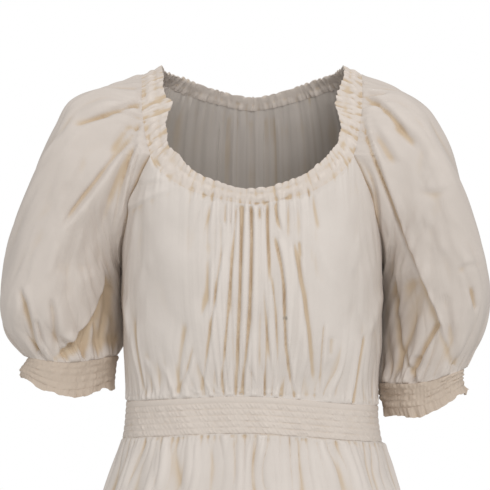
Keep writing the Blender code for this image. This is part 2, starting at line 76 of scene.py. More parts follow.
FIGURE_SQUARENESS = 2.3

# The neckline's free edge, centre front to centre back on the wearer's left, the cloth's fall from it and
# how far down the elastic casing reaches
NECK_EDGE = (
    # share, across, depth, height, fall across, fall depth, fall height, casing
    (0.00, 0.0000, -0.108, -0.1400, 0.00, -0.16, -0.99, 0.0160),
    (0.10, 0.0330, -0.106, -0.1335, 0.16, -0.17, -0.97, 0.0170),
    (0.20, 0.0640, -0.098, -0.1185, 0.36, -0.20, -0.91, 0.0215),
    (0.30, 0.0870, -0.079, -0.0920, 0.70, -0.22, -0.68, 0.0255),
    (0.40, 0.0935, -0.051, -0.0520, 0.92, -0.16, -0.36, 0.0265),
    (0.50, 0.0975, -0.020, -0.0120, 0.93, -0.08, -0.36, 0.0250),
    (0.56, 0.1000, 0.004, 0.0000, 0.93, 0.02, -0.37, 0.0225),
    (0.65, 0.0960, 0.031, -0.0030, 0.87, 0.25, -0.42, 0.0190),
    (0.76, 0.0780, 0.058, -0.0075, 0.62, 0.44, -0.65, 0.0165),
    (0.88, 0.0420, 0.076, -0.0185, 0.27, 0.36, -0.89, 0.0145),
    (1.00, 0.0000, 0.082, -0.0270, 0.00, 0.30, -0.95, 0.0140),
)
SHOULDER_SHARE = 0.53
FRONT_CORNER_SHARE = 0.32
BACK_CORNER_SHARE = 0.74

# How far lumps of the gathered edge stand in from that line, in millimetres, on each side
NECK_LUMPS = {
    "right": (
        # share, inwards
        (0.220, 0.0),
        (0.255, 2.5),
        (0.322, -3.0),
        (0.340, -1.0),
        (0.362, -2.0),
        (0.390, 2.5),
        (0.416, 8.5),
        (0.440, 0.5),
        (0.460, -1.0),
        (0.520, 0.0),
    ),
    "left": (
        # share, inwards
        (0.220, 0.0),
        (0.267, -1.0),
        (0.298, -2.5),
        (0.324, -5.0),
        (0.340, -4.0),
        (0.357, -5.5),
        (0.378, -3.0),
        (0.403, 2.0),
        (0.440, 2.5),
        (0.460, 0.0),
        (0.500, -3.5),
        (0.560, -2.0),
        (0.620, 0.0),
    ),
}

# The raglan seams below their corners
FRONT_RAGLAN = (
    # share, degrees from the side, height
    (0.12, 34.0, -0.108),
    (0.24, 31.7, -0.1155),
    (0.38, 29.0, -0.1265),
    (0.58, 24.6, -0.142),
    (0.80, 18.6, -0.1715),
    (1.00, 0.0, -0.215),
)
BACK_RAGLAN = (
    # share, degrees from the side, height
    (0.20, 33.0, -0.060),
    (0.40, 28.0, -0.100),
    (0.60, 20.0, -0.140),
    (0.80, 11.0, -0.180),
    (1.00, 0.0, -0.215),
)

# Sections of the puff sleeves, and of the cuffs below them
SLEEVES = {
    "left": (
        # share, outer across, outer height, inner across, inner height, inner depth, front, back
        (0.15, 0.1680, -0.0285, 0.1440, -0.222, 0.020, -0.078, 0.086),
        (0.22, 0.1900, -0.0470, 0.1435, -0.227, 0.030, -0.082, 0.088),
        (0.30, 0.2070, -0.0755, 0.1425, -0.233, 0.038, -0.084, 0.090),
        (0.50, 0.2350, -0.1460, 0.1405, -0.252, 0.045, -0.086, 0.091),
        (0.70, 0.2548, -0.2210, 0.1405, -0.282, 0.045, -0.082, 0.088),
        (0.80, 0.2583, -0.2520, 0.1400, -0.301, 0.043, -0.076, 0.082),
        (0.90, 0.2500, -0.2920, 0.1390, -0.326, 0.036, -0.063, 0.067),
        (1.00, 0.2305, -0.3320, 0.1400, -0.348, 0.025, -0.046, 0.048),
    ),
    "right": (
        # share, outer across, outer height, inner across, inner height, inner depth, front, back
        (0.15, 0.1700, -0.0235, 0.1440, -0.221, 0.020, -0.078, 0.086),
        (0.22, 0.1970, -0.0385, 0.1435, -0.225, 0.030, -0.082, 0.088),
        (0.30, 0.2130, -0.0660, 0.1425, -0.230, 0.038, -0.084, 0.090),
        (0.50, 0.2430, -0.1370, 0.1405, -0.244, 0.045, -0.086, 0.091),
        (0.70, 0.2650, -0.2110, 0.1405, -0.266, 0.045, -0.082, 0.088),
        (0.85, 0.2737, -0.2680, 0.1400, -0.290, 0.042, -0.074, 0.080),
        (0.93, 0.2665, -0.2930, 0.1420, -0.303, 0.034, -0.060, 0.064),
        (1.00, 0.2440, -0.3195, 0.1495, -0.3175, 0.024, -0.047, 0.049),
    ),
}
CUFFS = {
    "left": (
        # share, outer across, outer height, inner across, inner height, inner depth, front, back, front drop
        (0.00, 0.2305, -0.3320, 0.1400, -0.348, 0.025, -0.046, 0.048, 0.006),
        (0.75, 0.2300, -0.3490, 0.1455, -0.375, 0.020, -0.046, 0.046, 0.008),
        (1.00, 0.2335, -0.3570, 0.1475, -0.384, 0.018, -0.049, 0.048, 0.010),
    ),
    "right": (
        # share, outer across, outer height, inner across, inner height, inner depth, front, back, front drop
        (0.00, 0.2440, -0.3195, 0.1495, -0.3175, 0.024, -0.047, 0.049, 0.006),
        (0.75, 0.2530, -0.3345, 0.1520, -0.3455, 0.018, -0.047, 0.047, 0.014),
        (1.00, 0.2530, -0.3400, 0.1530, -0.3535, 0.016, -0.050, 0.049, 0.016),
    ),
}
CUFF_SHARE = 0.75
CUFF_FRONT_DROP = 0.006
# Offset of the cuffs' fold attribute, and so of their painted shade and highlight
CUFF_FOLD_SHADE = -0.10

# Each tier of the skirt: its spring below the gathers, its waves at the top and at the bottom, and how
# deep a valley is that has the full warm painted shade of the folds
TIERS = {
    # tier: spring, wave height at the top, wave height at the bottom, deep valley
    1: (0.004, 0.0015, 0.0055, 0.0034),
    2: (0.010, 0.0025, 0.0065, 0.0090),
    3: (0.010, 0.0025, 0.0120, 0.0130),
}
TIER_WAVES = 18

# Folds as seen from the front, in millimetres from the origin: start, middle and end of each fold's line,
# its half width and depth, how much the cloth stands out beside it (right of a line that runs down, above
# a line that runs right) and how far that reaches, and its strength at its two ends.
BODICE_FOLDS = (
    # across, up, across, up, across, up, width, depth, stand, reach, begins, ends
    (-9.9, -146.3, -13.0, -245.3, -17.4, -355.3, 2.2, 2.8, 1.4, 12, 1, 0.6),
    (-0.4, -150.7, -2.0, -256.3, -11.0, -355.3, 2.2, 3.0, 1.2, 11, 1, 0.6),
    (17.3, -146.3, 16.5, -181.5, 20.9, -247.5, 2.0, 2.4, -1.2, 9, 1, 0),
    (7.9, -148.5, 8.1, -157.3, 8.4, -172.7, 1.8, 1.8, 0, 6, 1, 0),
    (26.1, -151.8, 28.1, -165.0, 34.1, -185.9, 2.0, 2.0, 1.0, 8, 1, 0),
    (23.1, -181.5, 31.9, -214.5, 35.9, -256.3, 2.0, 2.6, 1.6, 10, 0, 0.8),
    (35.9, -251.9, 38.0, -305.8, 45.1, -355.3, 1.8, 2.2, 1.2, 9, 0.8, 0.7),
    (40.7, -174.9, 56.1, -247.5, 66.6, -331.1, 3.2, 2.8, -1.8, 14, 0, 0.6),
    (51.7, -190.3, 53.1, -200.2, 55.0, -214.5, 1.6, 1.3, 0, 6, 0, 0),
    (67.1, -145.2, 70.4, -162.8, 74.8, -183.7, 2.4, 1.2, 0, 8, 1, 0),
    (-17.6, -152.9, -24.2, -239.8, -34.4, -353.1, 1.8, 2.2, -1.0, 8, 1, 0.6),
    (-29.9, -144.1, -29.7, -159.5, -30.1, -179.3, 2.0, 2.2, 0, 7, 1, 0),
    (-30.9, -185.9, -41.1, -256.3, -53.4, -344.3, 2.0, 2.0, 1.3, 9, 0, 0.5),
    (-43.7, -173.8, -48.4, -239.8, -58.3, -283.8, 4.5, 2.2, 1.5, 16, 0, 0),
    (13.0, -229.9, 16.0, -283.8, 20.9, -331.1, 1.8, 1.6, 1.0, 7, 0, 0.4),
    (19.6, -225.5, 25.3, -266.2, 28.6, -339.9, 1.6, 1.5, -0.8, 7, 0, 0.4),
    (80.3, -278.3, 78.3, -303.6, 75.9, -348.7, 1.6, 1.4, 1.0, 7, 0, 0.6),
    (87.8, -294.8, 87.6, -306.9, 86.9, -322.3, 3.5, 1.2, 0, 8, 0, 0),
    (124.7, -291.5, 119.9, -319.0, 112.2, -361.9, 1.8, 2.2, -1.5, 10, 0, 1),
    (-128.2, -269.5, -125.4, -313.5, -116.6, -361.9, 2.2, 2.0, 1.2, 10, 0, 1),
    (-71.5, -276.1, -78.1, -313.5, -79.9, -350.9, 4.0, 1.6, 1.0, 12, 0, 0.5),
    (-64.9, -300.3, -70.4, -328.9, -79.2, -350.9, 2.0, 1.4, 0, 7, 0, 0.6),
    (-133.1, -160.6, -119.4, -150.2, -80.3, -134.2, 4.0, 0.1, 2.0, 18, 0, 0.2),
    (-123.2, -133.1, -108.9, -127.6, -93.5, -127.6, 4.0, 0.1, 1.6, 13, 0, 0),
    (62.7, -188.1, 72.6, -217.8, 85.8, -247.5, 9.0, 0.5, 1.6, 18, 0, 0),
    (-49.5, -195.8, -46.2, -225.5, -51.7, -258.5, 6.0, -1.6, 0, 10, 0, 0),
    (141.9, -239.8, 136.4, -269.5, 128.7, -298.1, 4.0, -1.6, 0, 8, 0, 0),
    (-140.8, -246.4, -133.1, -289.3, -119.9, -359.7, 3.0, -1.8, 0, 8, 0, 0.6),
    (-117.7, -317.9, -111.1, -335.5, -103.4, -357.5, 3.0, -1.6, 0, 8, 0, 0.6),
    (-96.8, -326.7, -91.3, -342.1, -84.7, -357.5, 3.0, -1.4, 0, 8, 0, 0.6),
    (-60.9, -313.5, -66.0, -332.2, -70.4, -348.7, 3.0, -1.2, 0, 8, 0, 0.6),
)
SLEEVE_FOLDS = {
    "right": (
        # across, up, across, up, across, up, width, depth, stand, reach, begins, ends
        (-108.9, -38.0, -143.0, -45.1, -204.6, -66.0, 2.8, 3.6, -2.5, 14, 1, 0),
        (-149.6, -48.4, -174.9, -54.5, -203.5, -66.0, 5.5, 2.6, 0, 9, 0, 0),
        (-125.4, -66.0, -170.5, -124.3, -220.0, -189.2, 3.6, 3.0, 4.2, 22, 0.8, 0),
        (-128.2, -80.3, -144.1, -115.5, -168.0, -192.0, 7.5, 5.5, 2.4, 15, 0.3, 0),
        (-128.2, -59.4, -144.1, -76.5, -158.4, -104.5, 4.5, 3.2, 1.2, 10, 0.6, 0),
        (-124.0, -79.8, -138.6, -113.9, -153.8, -192.5, 2.6, 3.0, 1.5, 10, 0.5, 0),
        (-114.1, -55.4, -122.5, -61.1, -130.9, -70.8, 2.4, 2.4, 0, 8, 1, 0),
        (-114.1, -68.1, -125.4, -73.7, -135.3, -87.7, 2.8, 2.8, 1.5, 9, 1, 0),
        (-118.8, -82.5, -130.9, -117.7, -139.7, -165.0, 2.0, 2.0, 1.0, 8, 0.6, 0),
        (-256.3, -238.7, -247.5, -269.5, -236.5, -311.3, 4.0, 4.0, 2.5, 14, 0, 0.7),
        (-222.2, -251.9, -218.4, -276.1, -215.6, -308.0, 4.0, 3.4, 1.5, 12, 0, 0.5),
        (-238.7, -275.0, -233.2, -291.5, -228.8, -315.7, 3.0, 2.4, 1.0, 9, 0, 0.7),
        (-214.5, -291.5, -199.1, -303.6, -183.7, -292.6, 3.5, 3.0, 3.0, 14, 0, 0),
        (-168.3, -267.3, -174.9, -291.5, -182.6, -313.5, 3.0, 2.0, 1.0, 9, 0, 1),
        (-154.0, -235.4, -152.9, -267.3, -162.8, -305.8, 4.0, 2.0, 1.0, 9, 0, 0.6),
    ),
    "left": (
        # across, up, across, up, across, up, width, depth, stand, reach, begins, ends
        (116.8, -24.0, 136.8, -30.6, 150.2, -26.6, 2.2, 2.4, 0.8, 9, 1, 0),
        (116.8, -29.9, 147.4, -47.3, 173.8, -79.2, 3.0, 3.6, 2.2, 14, 1, 0.3),
        (157.3, -58.3, 168.3, -74.8, 188.1, -82.5, 5.5, 2.6, 0, 10, 0, 0),
        (123.2, -63.8, 159.5, -166.1, 204.6, -280.3, 2.8, 3.4, 3.6, 20, 1, 0.7),
        (133.4, -66.0, 145.2, -86.9, 162.1, -112.2, 7.0, 5.0, 2.0, 12, 0.5, 0),
        (124.9, -107.3, 136.4, -138.6, 139.7, -190.3, 2.4, 2.4, 1.0, 9, 0.5, 0.6),
        (182.6, -132.0, 198.0, -138.6, 222.2, -132.0, 6.0, 0.8, 1.8, 14, 0, 0),
        (190.3, -86.9, 187.0, -105.6, 181.5, -126.5, 7.0, 0.4, 1.6, 14, 0, 0),
        (224.4, -229.9, 236.5, -218.9, 254.1, -218.9, 4.0, 1.0, 0.8, 10, 0, 0),
        (206.8, -280.5, 195.8, -295.9, 178.2, -327.0, 3.2, 3.0, 2.0, 12, 0, 1),
        (211.2, -246.4, 214.5, -278.3, 220.0, -320.1, 7.0, 4.0, 0, 12, 0, 0.7),
        (240.9, -239.8, 244.2, -256.3, 247.5, -270.6, 3.0, 2.6, -1.2, 9, 0, 0),
        (181.5, -316.8, 178.2, -326.7, 174.9, -338.8, 3.5, 3.5, 0, 9, 0, 1),
        (155.1, -214.5, 154.0, -267.3, 161.7, -335.5, 3.0, 2.2, 1.2, 9, 0, 1),
        (144.1, -245.3, 145.2, -289.3, 149.6, -331.1, 3.0, 1.8, 0.8, 8, 0, 1),
        (162.8, -305.8, 169.4, -324.5, 180.4, -346.5, 2.4, 2.4, 1.4, 8, 0, 1),
    ),
}

# The inner part of each sleeve hangs back behind the puff: a line in the same millimetres, the side of it
# that lies deeper (1 to the right, -1 to the left), how much deeper, and how much warm shade is painted into
# it.
SLEEVE_HOLLOWS = {
    # sleeve: across, up, across, up, across, up, side, sink, painted shade
    "right": (-160.5, -222.0, -168.3, -261.8, -195.8, -298.1, 1, 9.0, 0.60),
    "left": (180.0, -219.0, 192.0, -249.0, 204.6, -280.3, -1, 6.0, 0.35),
}

# The size that each piece of cloth was cut to, width and height in metres
CUTS = {
    "neck_casing": (0.72, 0.024),
    "bodice_front": (0.42, 0.235),
    "bodice_back": (0.40, 0.32),
    "sleeve_left": (0.42, 0.33),
    "sleeve_right": (0.42, 0.33),
    "cuff_left": (0.33, 0.026),
    "cuff_right": (0.33, 0.026),
    "cuff_frill_left": (0.36, 0.010),
    "cuff_frill_right": (0.36, 0.010),
    "waistband_front": (0.42, 0.042),
    "waistband_back": (0.42, 0.042),
    "tier_1_front": (0.62, 0.245),
    "tier_1_back": (0.62, 0.245),
    "tier_2_front": (0.86, 0.262),
    "tier_2_back": (0.86, 0.262),
    "tier_3_front": (1.06, 0.31),
    "tier_3_back": (1.06, 0.31),
}

# Gathers of several sizes below or above a seam. On a closed ring the spacings are fitted to its length.
WAIST_GATHERS = (
    # height, spacing, reach, number, sharp, wander
    (0.0015, 6.1, 15, 6, 0.75, 0.6),
    (0.0023, 12.0, 42, 7, 0.7, 0.6),
    (0.0016, 27.0, 85, 8, 0.8, 0.6),
)
TIER_GATHERS = (
    # height, spacing, reach, number, sharp, wander
    (0.0016, 6.3, 15, 1, 0.75, 0.6),
    (0.0027, 11.0, 85, 2, 0.65, 0.6),
    (0.0028, 24.0, 200, 3, 0.8, 0.6),
)
SHOULDER_GATHERS = (
    # height, spacing, reach, number, sharp, wander
    (0.0026, 16, 46, 1, 0.7, 0.35),
    (0.0030, 29, 95, 3, 0.8, 0.6),
)
CUFF_GATHERS = (
    # share of the height, spacing, reach, number, sharp, wander
    (0.60, 6.3, 15, 4, 0.75, 0.6),
    (1.20, 12.5, 36, 5, 0.7, 0.6),
    (1.40, 25, 70, 6, 0.8, 0.6),
)

# How much of the fold colour, painted shade, a deep valley has, and of the darker painted shade a fully
# shaded place
VALLEY_SHADE_SHARE = 0.74
SHADE_SHARE = 0.62

# The weave's threads, in metres, and the middle of the bodice's grey spot
THREAD_SPACING = 0.0009
SPOT_PLACE = (0.0353, -0.1150, -0.2772)

# The eye of the photograph, in metres, and the camera's sensor, in millimetres
EYE = (0.0, -3.2, -0.30)
AIM = (-0.0077, 0.0, -0.1958)
FRAME_WIDTH = 0.539
SENSOR_WIDTH = 36

# The soft square lights, turned to the middle of the bodice, and the light from all round
LIGHTS = {
    # name: place, width, power
    "key_light": ((0.9, -2.8, 1.5), 1.3, 38),
    "fill_light": ((-2.3, -2.4, 0.9), 1.8, 4),
    "top_light": ((-0.3, 0.6, 2.2), 1.2, 3),
}
LIGHTS_AIM = (0, 0, -0.25)
WORLD_LIGHT = 0.62

# How many random numbers there are in a row and along each side of a grid before they repeat
RANDOM_ROW = 997
RANDOM_GRID = 61

# A reach in millimetres so long that gathers don't die away
ENDLESS = 1e6

# The shares of a fold over which it fades at an end, and of a panel over which cloth flattens to its sides
END_FADE = 0.3
SIDE_SEAM = 0.01

# How many cells away a point's surroundings reach, for small folds and for broad ones
NEAR_CELLS = 5
FAR_CELLS = 12

# Faces that meet at more than this angle keep a sharp edge
RIM_ANGLE = math.radians(68)


class DressSizes(bpy.types.PropertyGroup):
    """Sizes that a user would change."""

    cloth: bpy.props.FloatProperty(
        name="Cloth", description="Thickness of the cloth walls", default=0.0012, min=0.0005, unit="LENGTH"
    )
    waist_top: bpy.props.FloatProperty(
        name="Waistband top", description="Height of the waistband's upper seam", default=-0.3606,
        unit="LENGTH",
    )
    waist_bottom: bpy.props.FloatProperty(
        name="Waistband bottom", description="Height of the waistband's lower seam", default=-0.3996,
        unit="LENGTH",
    )
    waist_dip: bpy.props.FloatProperty(
        name="Waist dip", description="How much lower the waist seams hang at the sides", default=0.009,
        unit="LENGTH",
    )
    waist_tilt: bpy.props.FloatProperty(
        name="Waist tilt", description="How much lower still the waist seams hang on the left",
        default=0.0025, unit="LENGTH",
    )
    first_seam: bpy.props.FloatProperty(
        name="First tier seam", description="Height of the seam below the first tier", default=-0.645,
        unit="LENGTH",
    )
    second_seam: bpy.props.FloatProperty(
        name="Second tier seam", description="Height of the seam below the second tier", default=-0.9,
        unit="LENGTH",
    )
    hem: bpy.props.FloatProperty(
        name="Hem", description="Height of the hem", default=-1.2, unit="LENGTH"
    )
    neck_gathers: bpy.props.FloatProperty(
        name="Neck gathers", description="Height of the gathers at the neck casing", default=0.0021,
        unit="LENGTH",
    )
    cuff_gathers: bpy.props.FloatProperty(
        name="Cuff gathers", description="Height of the gathers above the cuffs", default=0.0030,
        unit="LENGTH",
    )
    stitch_rows: bpy.props.IntProperty(
        name="Waistband rows", description="Stitched channels of the waistband", default=6, min=2
    )
    floor: bpy.props.FloatProperty(
        name="Floor", description="Height of the studio floor", default=-1.48, unit="LENGTH"
    )


class DressColours(bpy.types.PropertyGroup):
    """Colours that a user would change."""

    cotton: bpy.props.FloatVectorProperty(
        name="Cotton", description="Cream of the cloth", subtype="COLOR", min=0, max=1,
        default=(0.742, 0.678, 0.625),
    )
    # Painted shade: the warmer, darker colour that is mixed in deep in the folds, where less light reaches
    folds: bpy.props.FloatVectorProperty(
        name="Folds", description="Warmer tone deep in the folds", subtype="COLOR", min=0, max=1,
        default=(0.600, 0.452, 0.285),
    )
    stitched: bpy.props.FloatVectorProperty(
        name="Stitched cotton", description="Slightly rosier cream where the cloth is stitched",
        subtype="COLOR", min=0, max=1, default=(0.745, 0.665, 0.598),
    )
    # Painted shade: the sleeves' cream is darker than the bodice's, as if in shade, though the cloth is the
    # same
    sleeves: bpy.props.FloatVectorProperty(
        name="Sleeves", description="Cream of the puff sleeves, a little duller", subtype="COLOR",
        min=0, max=1, default=(0.692, 0.622, 0.566),
    )
    # Painted shade: the cuffs' cream is darker still, for the shade under the puffs
    cuffs: bpy.props.FloatVectorProperty(
        name="Cuffs", description="Duller cream of the cuffs", subtype="COLOR", min=0, max=1,
        default=(0.615, 0.515, 0.425),
    )
    spot: bpy.props.FloatVectorProperty(
        name="Spot", description="Small grey spot on the bodice", subtype="COLOR", min=0, max=1,
        default=(0.340, 0.300, 0.250),
    )
    floor: bpy.props.FloatVectorProperty(
        name="Floor", description="Pale studio floor", subtype="COLOR", min=0, max=1,
        default=(0.86, 0.86, 0.85),
    )


# Shared curves and surfaces


def smooth(at, knots, values, period=None):
    """A smooth curve through values at the knots, read at `at`: cubic between knots, with the slope at a
    knot taken from its two neighbours. With a period the curve closes on itself."""
    knots = np.asarray(knots, float)
    values = np.asarray(values, float)
    if period is not None:
        knots = np.concatenate([knots[-2:] - period, knots, knots[:2] + period])
        values = np.concatenate([values[-2:], values, values[:2]])
    slopes = np.gradient(values, knots, axis=0)
    at = np.clip(np.asarray(at, float), knots[0], knots[-1])
    i = np.clip(np.searchsorted(knots, at, side="right") - 1, 0, len(knots) - 2)
    step = knots[i + 1] - knots[i]
    t = (at - knots[i]) / step
    more = (1,) * (values.ndim - 1)
    t = t.reshape(t.shape + more)
    step = step.reshape(step.shape + more)
    start = (1 + 2 * t) * (1 - t) ** 2 * values[i] + t * (1 - t) ** 2 * step * slopes[i]
    end = t * t * (3 - 2 * t) * values[i + 1] + t * t * (t - 1) * step * slopes[i + 1]
    return start + end


def columns(table):
    """The table's first column, and the rest of its columns as an array."""
    rows = np.array(table, float)
    return rows[:, 0], rows[:, 1:]


def unit(vectors):
    """Each vector at length one."""
    return vectors / np.maximum(np.linalg.norm(vectors, axis=-1, keepdims=True), 1e-12)


def ease(value):
    """From 0 to 1 with level ends, for values from 0 to 1."""
    value = np.clip(value, 0, 1)
    return value * value * (3 - 2 * value)


def bell(distance, width, power=2):
    """1 at no distance, dying away at about the width: exp(-(distance / width) ** power)."""
    return np.exp(-((distance / width) ** power))


def figure_point(turn, height):
    """A point on the figure: an oval whose exponent is FIGURE_SQUARENESS, as wide and deep as the table
    says at that height. turn runs from 0 at the wearer's left through +90 degrees at the back."""
    heights, sizes = columns(FIGURE[::-1])
    half_width, front, back = np.moveaxis(smooth(height, heights, sizes), -1, 0)
    depth = np.where(np.sin(turn) < 0, front, back)
    across = np.abs(np.cos(turn) / half_width) ** FIGURE_SQUARENESS
    along = np.abs(np.sin(turn) / depth) ** FIGURE_SQUARENESS
    radius = (across + along) ** (-1 / FIGURE_SQUARENESS)
    return np.stack([radius * np.cos(turn), radius * np.sin(turn), height + 0 * turn], axis=-1)


def figure_outward(turn, height):
    """The way out of the figure: across a small turn and a small rise."""
    turned = figure_point(turn + 0.01, height) - figure_point(turn - 0.01, height)
    raised = figure_point(turn, height + 0.004) - figure_point(turn, height - 0.004)
    return unit(np.cross(turned, raised))


def neck_ring(share):
    """The neckline's edge, its fall, its outward direction and the casing's width; share runs 0 to 1
    down the wearer's left, front to back, and on to 2 at the front again."""
    knots, values = columns(NECK_EDGE)
    mirrored = values[-2:0:-1] * np.array([-1, 1, 1, -1, 1, 1, 1])
    knots = np.concatenate([knots, 2 - knots[-2:0:-1]])
    values = np.concatenate([values, mirrored])
    here = smooth(np.mod(share, 2), knots, values, period=2)
    ahead = smooth(np.mod(share + 0.01, 2), knots, values, period=2)
    behind = smooth(np.mod(share - 0.01, 2), knots, values, period=2)
    fall = unit(here[..., 3:6])
    outward = unit(np.cross(fall, ahead[..., :3] - behind[..., :3]))
    return here[..., :3], fall, outward, here[..., 6:]


def neck_seam(share):
    """Where the casing ends and the bodice and sleeves begin."""
    edge, fall, outward, casing = neck_ring(share)
    return edge + casing * fall, outward


def neck_length(share):
    """How far along the neck seam a share from 0 to 1 lies, in millimetres from the centre front."""
    shares = np.linspace(0, 1, 401)
    seam, _ = neck_seam(shares)
    return np.interp(share, shares, 1000 * lengths_along(seam, 0))


def raglan_seam(side, face, share):
    """The seam from the neck corner to the underarm, on the figure, drawn to the corner at its top.
    side is +1 on the wearer's left; face is -1 on the front and +1 on the back."""
    corner_share = FRONT_CORNER_SHARE if face < 0 else BACK_CORNER_SHARE
    corner, corner_outward = neck_seam(np.array([corner_share]))
    corner, corner_outward = corner[0], corner_outward[0]
    first_turn = math.atan2(abs(corner[1]), corner[0])
    knots, rows = columns(FRONT_RAGLAN if face < 0 else BACK_RAGLAN)
    turns = np.concatenate([[first_turn], np.radians(rows[:, 0])])
    heights = np.concatenate([[corner[2]], rows[:, 1]])
    knots = np.concatenate([[0.0], knots])
    turn = face * smooth(share, knots, turns)
    height = smooth(share, knots, heights)
    start = figure_point(np.array(face * first_turn), np.array(corner[2]))
    hold = (1 - share)[..., None] ** 2
    points = figure_point(turn, height) + hold * (corner - start)
    outward = unit(figure_outward(turn, height) * (1 - hold) + hold * corner_outward)
    flip = np.array([side, 1, 1])
    return points * flip, outward * flip


def section(side, row, angle, front_drop=0.0):
    """One slanted oval round an arm, the middle plus cosine and sine parts: angle 0 is its outer side, 90
    degrees its front, 180 the underarm. Returns the points and the section's middle."""
    outer_across, outer_height, inner_across, inner_height, inner_depth, front, back = row
    middle_depth = (front + back) / 2
    outer = np.array([side * outer_across, 2 * middle_depth - inner_depth, outer_height])
    inner = np.array([side * inner_across, inner_depth, inner_height])
    middle = (outer + inner) / 2
    to_outer = (outer - inner) / 2
    reach = math.sqrt(max((back - front) ** 2 / 4 - to_outer[1] ** 2, 0))
    to_front = np.array([0, -reach, 0])
    points = middle + np.cos(angle)[:, None] * to_outer + np.sin(angle)[:, None] * to_front
    points[:, 2] -= front_drop * np.sin(angle) ** 3
    return points, middle


def waves(turns, count, phase=0.0, wander=0.5):
    """Uneven waves: a sine with `count` periods in each whole turn, whose phase drifts."""
    angle = 2 * math.pi * turns
    drift = wander * np.sin(3 * angle + 1.3 + phase) + 0.5 * wander * np.sin(5 * angle + 2.1 * phase)
    return np.sin(count * angle + drift + phase)


# Gathers, ruches and folds


def steady(cell, seed):
    """A random number from 0 to 1 for each whole number, the same every time."""
    numbers = np.random.default_rng(seed).random(RANDOM_ROW)
    return numbers[np.mod(cell.astype(int), RANDOM_ROW)]


def ripple(x, y, seed):
    """Smooth random heights from -1 to 1: random numbers at the corners of a unit grid, blended across
    each cell with quintic weights."""
    size = RANDOM_GRID
    table = np.random.default_rng(seed).random((size, size)) * 2 - 1
    x, y = np.broadcast_arrays(x, y)
    i, j = np.floor(x).astype(int), np.floor(y).astype(int)
    s, t = x - i, y - j
    s = s**3 * (s * (s * 6 - 15) + 10)
    t = t**3 * (t * (t * 6 - 15) + 10)
    i, j, k, m = i % size, j % size, (i + 1) % size, (j + 1) % size
    near = table[i, j] * (1 - s) + table[k, j] * s
    far = table[i, m] * (1 - s) + table[k, m] * s
    return near * (1 - t) + far * t


def gathers(across, down, spacing, reach, seed, sharp=0.7, wander=0.35):
    """Ridges of gathered cloth: the absolute sine of the distance across, raised to a power below one so
    that tops are round and valleys narrow. Each ridge has a size and a length of its own, the ridges
    wander sideways, and all die away down the cloth. The result is about level on average."""
    across, down = np.broadcast_arrays(across, down)
    sway = wander * spacing * ripple(across / (2.3 * spacing), down / (4 * spacing), seed + 5)
    across = (across + sway) / spacing
    cell = np.floor(across)
    size = 0.4 + 0.9 * steady(cell, seed)
    length = reach * (0.45 + 1.1 * steady(cell, seed + 1))
    ridge = np.abs(np.sin(math.pi * across)) ** sharp
    return ridge * size * bell(down, length, 1.5) - 0.55 * bell(down, reach, 1.5)


def endless(across, spacing, seed, sharp=0.7, wander=0.35):
    """Gathers that don't die away."""
    return gathers(across, 0.0, spacing, ENDLESS, seed, sharp, wander)


def fitted(whole, spacing):
    """The spacing nearest to the given one that fits a whole number of times."""
    return whole / round(whole / spacing)


def gather_layers(across, down, seed, layers, whole=None):
    """The sum of the gathers that a table lists, fitted to the whole length of a ring if that is given."""
    total = 0
    for height, spacing, reach, number, sharp, wander in layers:
        spacing = spacing if whole is None else fitted(whole, spacing)
        total = total + height * gathers(across, down, spacing, reach, seed + number, sharp, wander)
    return total


def neck_gathers(along, below):
    """Heights in metres of the gathers that the elastic draws up: ridges of three sizes that cross the
    neck seam and die away on both sides of it, low and short beside the middle of the front, and pits
    scattered along the seam. `along` is the distance on the seam from the centre front and `below` the
    distance down the cloth, both in millimetres."""
    size = bpy.context.scene.dress_sizes.neck_gathers
    down = np.abs(below)
    reach = 0.30 + 0.70 * bell(along, 76, 4)
    size = size * (1 - 0.65 * bell(np.abs(along) - 88, 22, 4))
    ridges = 0.55 * gathers(along, down, 5.6, 14, 101, 0.75, 0.5)
    ridges = ridges + 0.95 * gathers(along, down, 11.5, 62 * reach, 102, 0.65, 0.5)
    ridges = ridges + 0.60 * gathers(1.02 * along, down, 23.0, 150 * reach, 103, 0.8, 0.6)
    pits = np.clip(ripple(along / 5.2, below / 3.8, 45) - 0.22, 0, 1) * bell(below, 4.5)
    return size * (ridges - 1.5 * pits)


def seen(points):
    """Where the eye of the photograph sees each point, in millimetres on the plane through the origin."""
    scale = -EYE[1] / (points[..., 1] - EYE[1])
    across = points[..., 0] * scale
    up = EYE[2] + (points[..., 2] - EYE[2]) * scale
    return 1000 * np.stack([across, up], axis=-1)


def beside(place, line_points):
    """For places in millimetres and a curve through three points: how far along the nearest point of the
    curve lies, from 0 to 1, how far off the curve each place is, more than 0 to its right where it runs
    down, and how far past its ends."""
    start, middle, end = np.array(line_points).reshape(3, 2)
    t = np.linspace(0, 1, 61)[:, None]
    bend = 2 * middle - (start + end) / 2
    line = (1 - t) ** 2 * start + 2 * t * (1 - t) * bend + t * t * end
    along = unit(2 * (1 - t) * (bend - start) + 2 * t * (end - bend))
    best = ((place[:, None] - line) ** 2).sum(axis=-1).argmin(axis=-1)
    offset = place - line[best]
    side = offset[:, 1] * along[best, 0] - offset[:, 0] * along[best, 1]
    past = offset[:, 0] * along[best, 0] + offset[:, 1] * along[best, 1]
    return t[best, 0], side, past


def close_to(place, line_points, margin):
    """Which places lie within a margin of the box round three points."""
    corners = np.array(line_points).reshape(3, 2)
    return np.all((place > corners.min(axis=0) - margin) & (place < corners.max(axis=0) + margin), axis=-1)


